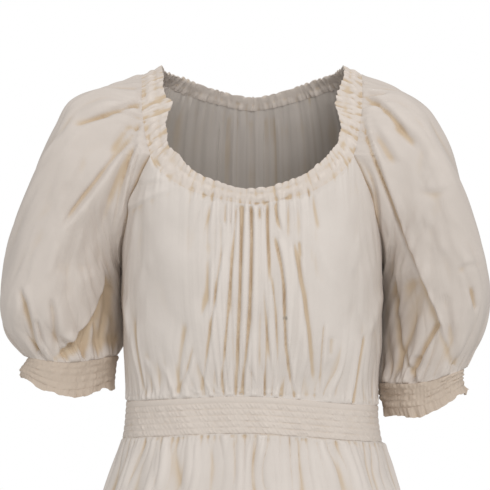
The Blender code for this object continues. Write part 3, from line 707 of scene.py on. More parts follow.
def folds(points, table):
    """Heights in metres of the listed folds at each point. Across a fold's line the cloth is a valley, a
    bell curve as wide and deep as the table says, and on one side it stands out: a rise at the line that
    dies away over the reach. Both fade at the ends, or run on a little where the fold ends at a seam."""
    place = seen(points)
    total = np.zeros(points.shape[:-1])
    for row in table:
        width, depth, stand, reach, begins, ends = row[6:]
        near = close_to(place, row[:6], 6 + 3 * width + 1.5 * reach)
        if not near.any():
            continue
        share, side, past = beside(place[near], row[:6])
        fade = begins + (1 - begins) * ease(share / END_FADE)
        fade = fade * (ends + (1 - ends) * ease((1 - share) / END_FADE))
        room = 0.8 * width + 2 + 9 * np.where(past > 0, ends, begins)
        beyond = bell(np.maximum(np.abs(past) - 3, 0), room)
        valley = -depth * bell(side, width)
        toward = side * np.sign(stand)
        rise = np.abs(stand) * ease(toward / (1.6 * width) + 0.3)
        rise = rise * bell(np.maximum(toward, 0), reach)
        total[near] += (valley + rise) * fade * beyond / 1000
    return total


def hollow(points, row):
    """How far a point lies in a sleeve's hollow, from 0 to 1: over a narrow step on one side of its line,
    growing from the line's start and dying away past its end."""
    place = seen(points)
    total = np.zeros(points.shape[:-1])
    near = close_to(place, row[:6], 70)
    share, side, past = beside(place[near], row[:6])
    into = ease(side * row[6] / 6.0 + 0.2)
    total[near] = into * ease(share / END_FADE) * bell(np.maximum(past, 0), 45)
    return total


def softened(values, reach, closed):
    """Each height averaged with its neighbours up to `reach` cells away each way, twice over."""
    for _ in range(2):
        for mode in ("edge", "wrap" if closed else "edge"):
            padded = np.pad(values, ((reach + 1, reach), (0, 0)), mode=mode)
            total = np.cumsum(padded, axis=0)
            values = ((total[2 * reach + 1 :] - total[: -2 * reach - 1]) / (2 * reach + 1)).T
    return values


# Making pieces


def cell_corners(grid):
    """The four corner numbers of each cell of a grid of numbers."""
    return np.stack([grid[:-1, :-1], grid[:-1, 1:], grid[1:, 1:], grid[1:, :-1]], axis=-1).reshape(-1, 4)


def lowest(values, reach):
    """The lowest height up to `reach` rows above or below each; the end rows are kept."""
    padded = np.pad(values, ((reach, reach), (0, 0)), mode="edge")
    low = values
    for shift in range(2 * reach + 1):
        low = np.minimum(low, padded[shift : shift + len(values)])
    low[[0, -1]] = values[[0, -1]]
    return low


def add_object(name, data):
    """A new object at the origin of the scene."""
    made = bpy.data.objects.new(name, data)
    bpy.context.scene.collection.objects.link(made)
    return made


def add_attribute(mesh, name, outer, inner):
    """A number for each point, first those of the outer face and then those of the inner one."""
    values = np.concatenate([outer.ravel(), inner.ravel()]).astype(np.float32)
    mesh.attributes.new(name, "FLOAT", "POINT").data.foreach_set("value", values)


def piece_of_cloth(
    node, points, outward, heights, across, down, material, closed,
    skip=4, thick=None, deep=0.0026, tone=0.0, inner_fold_shade=0.0, shade=0.0,
):
    """One closed wall of cloth that takes the place of the CAD node, whose part it hides, with its material.
    The outer face is the grid of points raised by the heights along the
    outward directions; the inner face is every `skip`-th row of it, moved inwards by the thickness from
    the lowest height nearby; rims join the two. `across` and `down` are the cloth's own lengths, and
    become its UV map in metres. The depth of each point below its surroundings, as a share of `deep`, and
    the tone added to it become the attribute "fold", from which the material paints shade in the valleys and
    a highlight on the ridges; on the inner face it is turned over and has painted dark fold lines added. The
    shade is the attribute "shade" of the inner face, painted shade, nothing on the outer one."""
    thick = bpy.context.scene.dress_sizes.cloth if thick is None else thick
    outer = points + heights[..., None] * outward
    inner = (points + (lowest(heights, skip) - thick)[..., None] * outward)[::skip]
    rows, cells = heights.shape
    inner_rows = inner.shape[0]
    # How far each point lies below its surroundings, which the material paints as shade in valleys and as a
    # highlight on ridges
    lower = softened(heights, NEAR_CELLS, closed) - heights
    lower = lower + 0.5 * (softened(heights, FAR_CELLS, closed) - heights)
    fold = np.clip(lower / deep + tone, -1, 1)
    wrap = np.arange(cells + 1) % cells if closed else np.arange(cells)
    outer_ids = np.arange(rows * cells).reshape(rows, cells)[:, wrap]
    inner_ids = (rows * cells + np.arange(inner_rows * cells)).reshape(inner_rows, cells)[:, wrap]
    if closed:
        across = np.concatenate([across, 2 * across[:, -1:] - across[:, -2:-1]], axis=1)
        down = np.concatenate([down, down[:, :1]], axis=1)
    cloth_map = np.stack([across, down], axis=-1)
    outer_marks = np.arange(across.size).reshape(rows, -1)
    inner_marks = outer_marks[::skip]
    pairs = [
        (cell_corners(outer_ids), cell_corners(outer_marks)),
        (cell_corners(inner_ids)[:, ::-1], cell_corners(inner_marks)[:, ::-1]),
        (cell_corners(np.stack([inner_ids[0], outer_ids[0]])), cell_corners(outer_marks[[0, 0]])),
        (cell_corners(np.stack([outer_ids[-1], inner_ids[-1]])), cell_corners(outer_marks[[-1, -1]])),
    ]
    faces = np.concatenate([ids for ids, _ in pairs]).tolist()
    marks = np.concatenate([mark for _, mark in pairs]).tolist()
    if not closed:
        for column, flip in ((0, 1), (-1, -1)):
            for k in range(inner_rows - 1):
                strip = outer_ids[k * skip : (k + 1) * skip + 1, column]
                strip_marks = outer_marks[k * skip : (k + 1) * skip + 1, column]
                ends = inner_ids[[k + 1, k], column]
                end_marks = strip_marks[[-1, 0]]
                faces.append(np.concatenate([strip, ends])[::flip].tolist())
                marks.append(np.concatenate([strip_marks, end_marks])[::flip].tolist())
    normals = np.cross(outer[:-1, 1:] - outer[:-1, :-1], outer[1:, :-1] - outer[:-1, :-1])
    if np.sum(normals * outward[:-1, :-1]) < 0:
        faces = [face[::-1] for face in faces]
        marks = [mark[::-1] for mark in marks]
    mesh = bpy.data.meshes.new(node + "_cloth")
    vertices = np.concatenate([outer.reshape(-1, 3), inner.reshape(-1, 3)])
    mesh.from_pydata(vertices.tolist(), [], faces)
    flat_marks = np.array([mark for face in marks for mark in face])
    uv = mesh.uv_layers.new(name="cloth")
    uv.data.foreach_set("uv", cloth_map.reshape(-1, 2)[flat_marks].astype(np.float32).ravel())
    # The inner face: the fold turned over, with painted dark fold lines added to it, and painted shade
    add_attribute(mesh, "fold", fold, np.clip(inner_fold_shade - 0.6 * fold, -1, 1)[::skip])
    add_attribute(mesh, "shade", np.zeros(heights.shape), np.broadcast_to(shade, heights.shape)[::skip])
    mesh.materials.append(material)
    mesh.shade_smooth()
    mesh.set_sharp_from_angle(angle=RIM_ANGLE)
    mesh.validate()
    mesh.update()
    piece = add_object(node + "_cloth", mesh)
    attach(piece, "root")
    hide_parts(node)


def lengths_along(points, axis):
    """How far along the grid each point lies, in metres, from its first row or column."""
    steps = np.linalg.norm(np.diff(points, axis=axis), axis=-1)
    start = np.zeros_like(np.take(steps, [0], axis=axis))
    return np.cumsum(np.concatenate([start, steps], axis=axis), axis=axis)


def from_middle(row):
    """A grid of one row as lengths in millimetres along it, from its middle point."""
    along = 1000 * lengths_along(row, 1)
    return along - along[:, along.shape[1] // 2, None]


def round_ring(ring):
    """A closed ring of points as one row of lengths in millimetres along it, and its whole length."""
    along = 1000 * lengths_along(np.concatenate([ring, ring[:1]]), 0)
    return along[None, :-1], along[-1]


# Materials


class Value:
    """A socket that carries a number; sums, products and powers of it add their Math nodes."""

    def __init__(self, cloth, socket):
        self.cloth = cloth
        self.socket = socket

    def maths(self, operation, *numbers):
        sockets = {place: number for place, number in enumerate(numbers)}
        return self.cloth.add("ShaderNodeMath", {"operation": operation}, sockets)

    def __add__(self, other):
        return self.maths("ADD", self, other)

    def __radd__(self, other):
        return self.maths("ADD", other, self)

    def __sub__(self, other):
        return self.maths("SUBTRACT", self, other)

    def __rsub__(self, other):
        return self.maths("SUBTRACT", other, self)

    def __mul__(self, other):
        return self.maths("MULTIPLY", self, other)

    def __rmul__(self, other):
        return self.maths("MULTIPLY", other, self)

    def __truediv__(self, other):
        return self.maths("DIVIDE", self, other)

    def __rtruediv__(self, other):
        return self.maths("DIVIDE", other, self)

    def __pow__(self, other):
        return self.maths("POWER", self, other)

    def sine(self):
        return self.maths("SINE", self)

    def between(self, low, high):
        """0 below low, 1 above high, level at both ends."""
        settings = {"interpolation_type": "SMOOTHSTEP"}
        return self.cloth.add("ShaderNodeMapRange", settings, {0: self, 1: low, 2: high})


class ClothMaterial:
    """A material and the methods that add and link its nodes."""

    def __init__(self, name):
        self.material = bpy.data.materials.new(name)
        self.material.use_nodes = True
        self.tree = self.material.node_tree
        self.shader = self.tree.nodes["Principled BSDF"]

    def add(self, kind, settings=None, sockets=None, output=0):
        """Adds a node: its settings first, then the values or links of its sockets."""
        node = self.tree.nodes.new(kind)
        for key, value in (settings or {}).items():
            setattr(node, key, value)
        self.join(node, sockets or {})
        return Value(self, node.outputs[output])

    def join(self, node, sockets):
        """Sets or links the sockets of a node."""
        for key, value in sockets.items():
            if isinstance(value, Value):
                self.tree.links.new(value.socket, node.inputs[key])
            else:
                node.inputs[key].default_value = value

    def mixed(self, share, first, second):
        """The first colour, and the second where share is 1."""
        return self.add("ShaderNodeMix", {"data_type": "RGBA"}, {0: share, 6: first, 7: second}, output=2)

    def stretched(self, vector, factors):
        """A vector with each of its parts multiplied."""
        return self.add("ShaderNodeVectorMath", {"operation": "MULTIPLY"}, {0: vector, 1: factors})

    def attribute(self, name):
        """A number that the cloth's points carry."""
        return self.add("ShaderNodeAttribute", {"attribute_name": name}, output=2)

    def noise(self, vector, scale, detail=2.0, roughness=0.5):
        sockets = {"Vector": vector, "Scale": scale, "Detail": detail, "Roughness": roughness}
        return self.add("ShaderNodeTexNoise", {}, sockets)


def tinted(base, *factors):
    """A colour with each of its parts multiplied."""
    return (*(part * factor for part, factor in zip(base, factors)), 1)


def cotton_material(name, base, spotted):
    """Thin plain-woven cotton. Its colour turns warmer and darker as the fold attribute grows, painted shade
    in the valleys, lighter on the ridges, a painted highlight, and darker still with the shade attribute,
    more painted shade, with thick threads as faint streaks both ways, a slow unevenness and, on the bodice,
    one small grey spot. Its bumps are the threads, the weave and a light crumple."""
    colours = bpy.context.scene.dress_colours
    cloth = ClothMaterial(name)
    place = cloth.add("ShaderNodeTexCoord", output=3)
    uv = cloth.add("ShaderNodeUVMap", {"uv_map": "cloth"})
    fold = cloth.attribute("fold")
    broad = cloth.noise(place, 16.0, 3.0)
    crumple = cloth.noise(place, 75.0, 3.0, 0.55)
    weft = cloth.noise(cloth.stretched(uv, (70, 900, 1)), 1.0, 2.0)
    warp = cloth.noise(cloth.stretched(uv, (1000, 55, 1)), 1.0, 2.0)
    run = cloth.add("ShaderNodeSeparateXYZ", {}, {0: uv})
    rise = cloth.add("ShaderNodeSeparateXYZ", {}, {0: uv}, output=1)
    turns = 2 * math.pi / THREAD_SPACING
    weave = (run * turns).sine() * (rise * turns).sine()
    # Painted shade: the fold colour mixed into the valleys; painted highlight: a lighter cream on the ridges
    valley = (fold + (broad - 0.5) * 0.15).between(0.05, 1.05)
    ridge = (fold * -1.0).between(0.1, 0.9)
    cream = (*base, 1)
    ridge_highlight = tuple(min(1, part * 1.045) for part in base) + (1,)
    colour = cloth.mixed(broad.between(0.30, 0.72), tinted(base, 0.93, 0.925, 0.92), cream)
    colour = cloth.mixed(ridge * 0.8, colour, ridge_highlight)
    colour = cloth.mixed(valley * VALLEY_SHADE_SHARE, colour, (*colours.folds, 1))
    # Painted shade where the inside of the dress gets less light
    shade = cloth.attribute("shade") * SHADE_SHARE
    colour = cloth.mixed(shade, colour, tinted(base, 0.36, 0.345, 0.31))
    streaks = (weft.between(0.56, 0.78) + warp.between(0.60, 0.80)) * 0.10
    colour = cloth.mixed(streaks, colour, tinted(base, 0.80, 0.78, 0.74))
    if spotted:
        ends = {0: place, 1: SPOT_PLACE}
        away = cloth.add("ShaderNodeVectorMath", {"operation": "DISTANCE"}, ends, output=1)
        away = away + (crumple - 0.5) * 0.0016
        colour = cloth.mixed(1 - away.between(0.0006, 0.0034), colour, (*colours.spot, 1))
    bump = crumple * 0.5 + weft * 0.16 + warp * 0.12 + weave * 0.03
    normal = cloth.add("ShaderNodeBump", {}, {"Strength": 0.5, "Distance": 0.0011, "Height": bump})
    sockets = {
        "Base Color": colour,
        "Roughness": 0.80 + broad * 0.12,
        "Normal": normal,
        "Metallic": 0.0,
        "Specular IOR Level": 0.22,
        "Sheen Weight": 0.04,
        "Sheen Roughness": 0.45,
    }
    cloth.join(cloth.shader, sockets)
    return cloth.material


def shared_material(name):
    """The cotton of the skirt, the bodice, the sleeves, the cuffs or the stitched parts, made once; the
    sleeves' and the cuffs' darker colours are painted shade.
    """
    if name in bpy.data.materials:
        return bpy.data.materials[name]
    colours = bpy.context.scene.dress_colours
    bases = {
        "stitched cotton": colours.stitched,
        "shaded sleeve cotton": colours.sleeves,
        "shaded cuff cotton": colours.cuffs,
    }
    return cotton_material(name, tuple(bases.get(name, colours.cotton)), spotted=name == "bodice cotton")


# The neck


class DRESS_OT_neck_casing(bpy.types.Operator):
    """Make the elastic casing round the neck"""

    bl_idname = "dress.neck_casing"
    bl_label = "Neck casing"

    def execute(self, context):
        """The gathers of the neck seam run on up the casing, smaller at its line of stitching, with
        ruches between them; the free edge above it is drawn in and out by its lumps."""
        cells, rows = 820, 29
        share = 2 * (np.arange(cells) - cells // 2) / cells
        edge, fall, outward, casing = neck_ring(share)
        down = np.linspace(0, 1.05, rows)[:, None]
        side_share = np.abs(share)
        along = np.sign(share) * neck_length(side_share)
        shoulder = bell(side_share - 0.42, 0.15)
        below = 1000 * (down - 1) * casing[:, 0]
        lean = 5.0 * np.minimum(down - 1, 0) * ripple(along / 21, 0 * down, 33)
        wide = endless(along + lean, 9.6, 31, 0.7, 0.7)
        narrow = endless(along - lean, 5.3, 37, 0.8, 0.7)
        stitched = bell(down - 0.36, 0.10)
        ruches = (0.0021 + 0.0010 * shoulder) * wide + (0.0004 + 0.0004 * shoulder) * narrow
        ruches = ruches * (0.8 + 0.5 * ripple(along / 13, 1.3 * down, 43))
        ruches = ruches + (0.0006 + 0.0009 * shoulder) * ripple(along / 5.2, 2.6 * down, 41)
        seam_part = ease((down - 0.55) / 0.45)
        heights = 0.0012 + (1 - 0.65 * stitched) * ruches * (1 - seam_part) - 0.0007 * stitched
        drawn = neck_gathers(along + lean, below) * (0.35 + 0.65 * seam_part)
        heights = heights * (1 - seam_part) + drawn - 0.0004 * seam_part
        right, left = [smooth(side_share, *columns(NECK_LUMPS[name]))[..., 0] for name in ("right", "left")]
        lumps = np.where(share < 0, right, left)
        fine = np.sin(2 * math.pi * along / 7.6 + 1.5 * np.sin(along / 13.0))
        scallop = 0.0006 + 0.0013 * wide[0] + 0.0005 * shoulder * fine + lumps / 1000
        edge_part = (1 - np.clip(down, 0, 1)) ** 1.8
        reach = down[..., None] * casing * fall
        points = edge + reach - (edge_part * scallop)[..., None] * fall
        heights = heights + edge_part * (0.0006 + 0.0012 * shoulder) * ripple(along / 7.5, 0 * down, 47)
        outward = np.broadcast_to(outward, points.shape)
        across = np.broadcast_to(1.5 * along / 1000, heights.shape)
        # The tone adds painted fold shade to the casing, more towards the shoulders
        piece_of_cloth(
            "neck_casing", points, outward, heights, across, down * casing[:, 0],
            shared_material("stitched cotton"), True, thick=0.0016, deep=0.0019, tone=0.05 + 0.12 * shoulder,
        )
        return {"FINISHED"}


# The bodice


def bodice_top(face, neck_cells, raglan_cells):
    """The top edge of a bodice panel, underarm to underarm: the neck seam between its two corners and a
    raglan seam on each side, with a position from -1 to 1."""
    if face < 0:
        neck_share = FRONT_CORNER_SHARE * np.linspace(0, 1, neck_cells + 1)
    else:
        neck_share = 1 + (BACK_CORNER_SHARE - 1) * np.linspace(0, 1, neck_cells + 1)
    neck_points, neck_outward = neck_seam(neck_share)
    seam_points, seam_outward = raglan_seam(1, face, np.linspace(0, 1, raglan_cells + 1)[1:])
    half = np.concatenate([neck_points, seam_points])
    half_outward = np.concatenate([neck_outward, seam_outward])
    mirror = np.array([-1, 1, 1])
    points = np.concatenate([half[:0:-1] * mirror, half])
    outward = np.concatenate([half_outward[:0:-1] * mirror, half_outward])
    return points, outward, np.linspace(-1, 1, 2 * (neck_cells + raglan_cells) + 1)


def waist_height(turn, height, sizes):
    """The height of a seam at the waist, lower at the sides and lowest on the wearer's left."""
    return height - sizes.waist_dip * np.cos(turn) ** 2 - sizes.waist_tilt * np.cos(turn)


def bodice_grid(face, neck_cells, raglan_cells, rows):
    """A bodice panel without its folds: turn and height run straight from the top edge to the waist, on
    the figure, and the difference between the top edge and the figure dies away downwards."""
    sizes = bpy.context.scene.dress_sizes
    top, top_outward, position = bodice_top(face, neck_cells, raglan_cells)
    top_turn = np.arctan2(top[:, 1], top[:, 0])
    top_turn = np.where(top_turn * face < 0, 0, top_turn)
    waist_turn = face * math.pi / 2 * (1 - position)
    top_turn[0] = waist_turn[0]
    down = np.linspace(0, 1, rows)[:, None]
    turn = top_turn * (1 - down) + waist_turn * down
    bottom = waist_height(waist_turn, sizes.waist_top, sizes)
    height = top[:, 2] * (1 - down) + bottom * down
    hold = (1 - down)[..., None] ** 2.5
    correction = top - figure_point(top_turn, top[:, 2])
    points = figure_point(turn, height) + hold * correction
    outward = unit(figure_outward(turn, height) * (1 - hold) + hold * top_outward)
    level = down[..., None] ** 8
    outward = unit(outward * (1 - level * np.array([0, 0, 1])))
    return points, outward, position, down


class DRESS_OT_bodice(bpy.types.Operator):
    """Make the front and the back of the bodice"""

    bl_idname = "dress.bodice"
    bl_label = "Bodice"

    def execute(self, context):
        sizes = context.scene.dress_sizes
        self.panel("bodice_front", -1, (114, 76), 157, sizes)
        self.panel("bodice_back", 1, (70, 62), 89, sizes)
        return {"FINISHED"}

    def panel(self, name, face, halves, rows, sizes):
        """Gathers run down from the neck seam, and in the middle of the front on down to the waist; others
        rise from the waist seam, with a row of small puffs; and the front has the listed folds."""
        points, outward, position, down = bodice_grid(face, halves[0], halves[1], rows)
        top = from_middle(points[:1])
        waist = from_middle(points[-1:])
        below = 1000 * lengths_along(points, 0)
        above = below[-1:] - below
        seed = 100 if face < 0 else 200
        neck_end = halves[0] / (halves[0] + halves[1])
        at_neck = ease((1.04 - np.abs(position) / neck_end) / 0.14)
        along = top if face < 0 else np.sign(top) * (neck_length(1.0) - np.abs(top))
        drawn = at_neck * neck_gathers(along, below) * (1 if face < 0 else 0.8)
        middle = bell(top, 64, 4) * (0.70 + 0.30 * np.abs(2 * down - 1) ** 1.5) * sizes.neck_gathers
        heights = middle * 1.05 * endless(top, 10.4, seed + 4, 0.6, 0.9)
        heights = heights + middle * 0.45 * endless(top + 40, 6.7, seed + 5, 0.7, 0.9)
        beads = 0.0013 * ripple(waist / 3.4, above / 3.2, seed + 9) * bell(above, 7.0)
        risen = gather_layers(waist, above, seed, WAIST_GATHERS) + beads
        heights = heights + ease((1 - np.abs(position)) / 0.10) * risen
        if face < 0:
            heights = heights + 1.25 * folds(points, BODICE_FOLDS)
        else:
            heights = heights + 0.0018 * endless(0.9 * top, 15.0, seed + 10, 0.75, 0.6)
        heights = heights + 0.0008 * ripple(waist / 17, below / 26, seed + 11)
        heights = heights + 0.0015 * ripple(waist / 38, below / 45, seed + 12)
        tuck = 1 - bell(below, 4.0)
        seam = 1 - bell(above, 1.6)
        heights = (drawn + (0.0004 + heights) * tuck) * seam + 0.0002 * (1 - seam)
        raglan = (1 - at_neck) * ease((np.abs(position) - neck_end) / (1 - neck_end) / 0.8)
        groove = bell(below, 3.0 + 3.5 * raglan) * (1 - at_neck)
        heights = (heights - 0.0005 * groove) * (1 - bell(1 - np.abs(position), 0.012))
        across = np.broadcast_to((top * (1 - down) + waist * down) * 1.45 / 1000, heights.shape)
        # Painted shade on the inner faces: narrow dark fold lines, and shade that deepens away from the
        # middle, further down and in broad bands
        lines = endless(top, 9.0, seed + 20, 0.9, 0.9)
        shade = 0.5 * ease(np.abs(top) / 100) + 0.6 * ease(below / 130) + 0.5 * np.clip(lines - 0.4, 0, 1)
        shade = np.clip(shade + 0.22 * (0.5 - endless(top, 19.0, seed + 21, 0.6, 0.9)), 0, 1)
        # The tone paints shade into the groove along each seam, more of it down the raglan, and is a little
        # lower everywhere else
        piece_of_cloth(
            name, points, outward, heights, across, below / 1000, shared_material("bodice cotton"),
            False, tone=groove * (0.4 + 0.7 * raglan) - 0.06, inner_fold_shade=2.4 * np.clip(lines - 0.5, 0, 1),
            shade=shade,
        )


# The sleeves and cuffs


def armhole(side, neck_cells, raglan_cells):
    """The sleeve's top edge, once round: from the shoulder down the front to the underarm and up the
    back, with the angle round the sleeve spread by length."""
    sides = []
    for face, corner in ((-1, FRONT_CORNER_SHARE), (1, BACK_CORNER_SHARE)):
        share = np.linspace(SHOULDER_SHARE, corner, neck_cells + 1)
        neck_points, neck_outward = neck_seam(share)
        mirror = np.array([side, 1, 1])
        seam_points, seam_outward = raglan_seam(side, face, np.linspace(0, 1, raglan_cells + 1)[1:])
        points = np.concatenate([neck_points * mirror, seam_points])
        outward = np.concatenate([neck_outward * mirror, seam_outward])
        steps = np.linalg.norm(np.diff(points, axis=0), axis=1)
        angle = math.pi * np.concatenate([[0], np.cumsum(steps)]) / steps.sum()
        sides.append((points, outward, angle))
    (front, front_outward, front_angle), (back, back_outward, back_angle) = sides
    points = np.concatenate([front, back[-2:0:-1]])
    outward = np.concatenate([front_outward, back_outward[-2:0:-1]])
    angle = np.concatenate([front_angle, 2 * math.pi - back_angle[-2:0:-1]])
    outward = unit(sum(np.roll(outward, shift, axis=0) for shift in range(-9, 10)))
    return points, outward, angle


def ring_outward(points, centre):
    """The way out of a closed grid at each point, away from its centre line."""
    along = np.gradient(points, axis=0)
    across = np.roll(points, -1, axis=1) - np.roll(points, 1, axis=1)
    outward = unit(np.cross(along, across))
    facing = np.sign(np.sum(outward * (points - centre), axis=-1, keepdims=True))
    return outward * np.where(facing == 0, 1, facing)


class DRESS_OT_sleeves(bpy.types.Operator):
    """Make the two puff sleeves"""

    bl_idname = "dress.sleeves"
    bl_label = "Puff sleeves"

    def execute(self, context):
        for name in ("left", "right"):
            self.sleeve(name, context.scene.dress_sizes)
        return {"FINISHED"}

    def sleeve(self, name, sizes):
        """The sections of the table, joined smoothly below the armhole. The neck's gathers run on down
        from its seam, others rise from the cuff, soft folds lie over the whole puff, and the front has
        the listed folds."""
        side = 1 if name == "left" else -1
        seed = 300 if name == "left" else 400
        top, top_outward, angle = armhole(side, neck_cells=72, raglan_cells=116)
        shares, rows = columns(SLEEVES[name])
        drops = CUFF_FRONT_DROP * np.clip((shares - 0.7) / 0.3, 0, 1)
        rings = [section(side, row, angle, drop) for row, drop in zip(rows, drops)]
        knots = np.concatenate([[0.0], shares])
        net = np.stack([top, *[points for points, _ in rings]])
        middles = np.stack([top.mean(axis=0), *[middle for _, middle in rings]])
        down = np.linspace(0, 1, 137)
        points = smooth(down, knots, net)
        centre = smooth(down, knots, middles)[:, None]
        outward = ring_outward(points, centre)
        blend = bell(down, 0.05)[:, None, None]
        outward = unit(outward * (1 - blend) + blend * top_outward)
        level = bell(1 - down, 0.03)[:, None, None]
        outward = unit(outward * (1 - level * np.array([0, 0, 0.7])))
        head, head_whole = round_ring(points[0])
        cuff, cuff_whole = round_ring(points[-1])
        below = 1000 * lengths_along(points, 0)
        above = below[-1:] - below
        shoulder = neck_length(SHOULDER_SHARE)
        front_neck = shoulder - neck_length(FRONT_CORNER_SHARE)
        back_neck = neck_length(BACK_CORNER_SHARE) - shoulder
        behind = angle[None] > math.pi
        at_neck = ease(np.where(behind, back_neck - head_whole + head, front_neck - head) / 26 + 0.5)
        along = side * np.where(behind, shoulder + head_whole - head, shoulder - head)
        drawn = at_neck * neck_gathers(along, below)
        under = ease((np.abs(angle - math.pi) - 0.12) / 0.7)
        rim = 0.35 + 0.65 * under
        near_neck = bell(np.minimum(angle, 2 * math.pi - angle), 1.15, 4)
        heights = near_neck * gather_layers(head, below, seed, SHOULDER_GATHERS, head_whole)
        risen = gather_layers(cuff, above, seed, CUFF_GATHERS, cuff_whole)
        heights = heights + sizes.cuff_gathers * rim * risen
        facing = np.clip(0.5 - 2.2 * outward[..., 1], 0, 1)
        heights = heights + 1.35 * folds(points, SLEEVE_FOLDS[name]) * ease(facing) * rim
        behind_puff = hollow(points, SLEEVE_HOLLOWS[name]) * ease(-1.8 * outward[..., 1])
        # The hollow sinks the cloth, and shade is painted into it as well
        sink, hollow_shade = SLEEVE_HOLLOWS[name][7:]
        heights = heights - sink / 1000 * behind_puff * ease(above / 22)
        loose = np.sin(math.pi * down)[:, None] ** 0.7
        turn = angle[None] / (2 * math.pi)
        soft = 0.0022 * np.sin(2 * math.pi * (5 * turn + 0.8 * down[:, None]) + 0.7 * seed)
        soft = soft + 0.0016 * np.sin(2 * math.pi * (9 * turn - 1.3 * down[:, None]) + 1.1 * seed)
        heights = heights + loose * soft * (0.35 + 0.65 * ease(1 - facing)) * rim
        swell = ripple(3 * np.cos(angle) + 7, 3 * np.sin(angle) + 6 * down[:, None] + 9, seed + 7)
        fine = ripple(8 * np.cos(angle) + 17, 8 * np.sin(angle) + 17 * down[:, None] + 19, seed + 8)
        heights = heights + loose * (0.0030 * swell + 0.0012 * fine) * rim
        tuck = 1 - bell(below, 5.0)
        seam = 1 - bell(above, 2.0)
        heights = (drawn + heights * tuck) * seam
        low_seam = (1 - at_neck) * np.sin(angle / 2) ** 2
        groove = bell(below, 3.0 + 3.5 * low_seam) * (1 - at_neck)
        heights = heights - 0.0005 * groove
        # Painted shade: along the seam, more of it low towards the underarm, and in the hollow behind the
        # puff; a little lower elsewhere
        tone = groove * (0.4 + 0.7 * low_seam) + hollow_shade * behind_puff - 0.04
        node = "sleeve_" + name
        across = np.broadcast_to(angle / (2 * math.pi) * CUTS[node][0], heights.shape)
        # The sleeve's darker cotton is painted shade
        piece_of_cloth(
            node, points, outward, heights, across, below / 1000, shared_material("shaded sleeve cotton"),
            True, deep=0.0058, tone=tone,
        )


def cuff_rings(name, cells, shares):
    """Sections of a cuff at the given shares of its height, with the ways out of them, the lengths round
    its first one and that one's whole length."""
    side = 1 if name == "left" else -1
    angle = 2 * math.pi * np.arange(cells) / cells
    knots, rows = columns(CUFFS[name])
    rows = smooth(shares, knots, rows)
    points = np.stack([section(side, row[:-1], angle, row[-1])[0] for row in rows])
    middle = points.mean(axis=1, keepdims=True)
    outward = unit((points - middle) * np.array([1, 1, 0.3]))
    return points, outward, *round_ring(points[0])


class DRESS_OT_cuffs(bpy.types.Operator):
    """Make the two stitched cuffs and their frills"""

    bl_idname = "dress.cuffs"
    bl_label = "Cuffs and frills"

    def execute(self, context):
        for name in ("left", "right"):
            self.band(name)
            self.frill(name)
        return {"FINISHED"}

    def band(self, name):
        """Four puckered channels between rows of stitching: the channels are raised half sines, broken
        into small puffs that shift from row to row."""
        seed = 500 if name == "left" else 520
        down = np.linspace(0, 1, 37)[:, None]
        points, outward, around, whole = cuff_rings(name, 330, CUFF_SHARE * down[:, 0])
        channel = down * 4
        number = np.minimum(np.floor(channel), 3)
        crown = np.sin(math.pi * (channel - number)) ** 0.8
        shifted = around + 2.3 * number + 1.4 * np.sin(number * 2.1)
        puffs = endless(shifted, fitted(whole, 5.2), seed, 0.8)
        rough = 1 if name == "left" else 0.6
        heights = 0.0004 + crown * (0.0008 + 0.0012 * rough * puffs)
        heights = heights + 0.0014 * rough * crown * ripple(around / 6.5, channel * 0.9, seed + 3)
        heights = heights + 0.0022 * rough * ripple(around / 17, channel * 0.55, seed + 6)
        across = np.broadcast_to(1.4 * around / 1000, heights.shape)
        # The cuff's darker cotton is painted shade from the puff above it
        piece_of_cloth(
            "cuff_" + name, points, outward, heights, across, lengths_along(points, 0),
            shared_material("shaded cuff cotton"), True, thick=0.0016, deep=0.0045, tone=CUFF_FOLD_SHADE,
        )

    def frill(self, name):
        """A gathered edge: its waves open and its lower edge lifts in small scallops as it falls."""
        seed = 540 if name == "left" else 560
        down = np.linspace(0, 1, 13)[:, None]
        shares = CUFF_SHARE + (1 - CUFF_SHARE) * down[:, 0]
        points, outward, around, whole = cuff_rings(name, 400, shares)
        count = round(whole / 9.5)
        wave = endless(around, whole / count, seed, 0.9, 0.4)
        small = endless(around, whole / (2 * count + 1), seed + 4, 0.9, 0.4)
        rough = 1 if name == "left" else 0.75
        swell = 0.75 + 0.6 * ripple(around / 15, 0.8 * down, seed + 7)
        heights = 0.0004 + rough * (0.0010 + 0.0022 * down) * wave * swell + rough * 0.0007 * small
        heights = heights + 0.0022 * rough * ripple(around / 17, 2.2 + 0.4 * down, seed - 34)
        lift = 0.0016 * down**2 * ripple(around / 6.5, 0 * down, seed + 8)
        lift = lift + 0.0022 * down**2 * ripple(around / 21, 0 * down, seed + 9)
        points = points + lift[..., None] * np.array([0, 0, 1.0])
        across = np.broadcast_to(1.6 * around / 1000, heights.shape)
        # The frill has the cuff's darker cotton, painted shade
        piece_of_cloth(
            "cuff_frill_" + name, points, outward, heights, across,
            lengths_along(points, 0), shared_material("shaded cuff cotton"), True, skip=3, thick=0.001, deep=0.0045,
            tone=CUFF_FOLD_SHADE,
        )


# The waistband and the skirt


def panel_turns(face, cells):
    """Angles round the body across a front or back panel, from the wearer's right to the left, and how far
    each is from the nearer side, from 0 to 1."""
    position = np.linspace(-1, 1, cells + 1)
    return face * math.pi / 2 * (1 - position), 1 - np.abs(position)


def level_outward(turn, height):
    """The way out of the figure, kept level, so that seams between tiers stay flat."""
    return unit(figure_outward(turn, height) * np.array([1, 1, 0]))


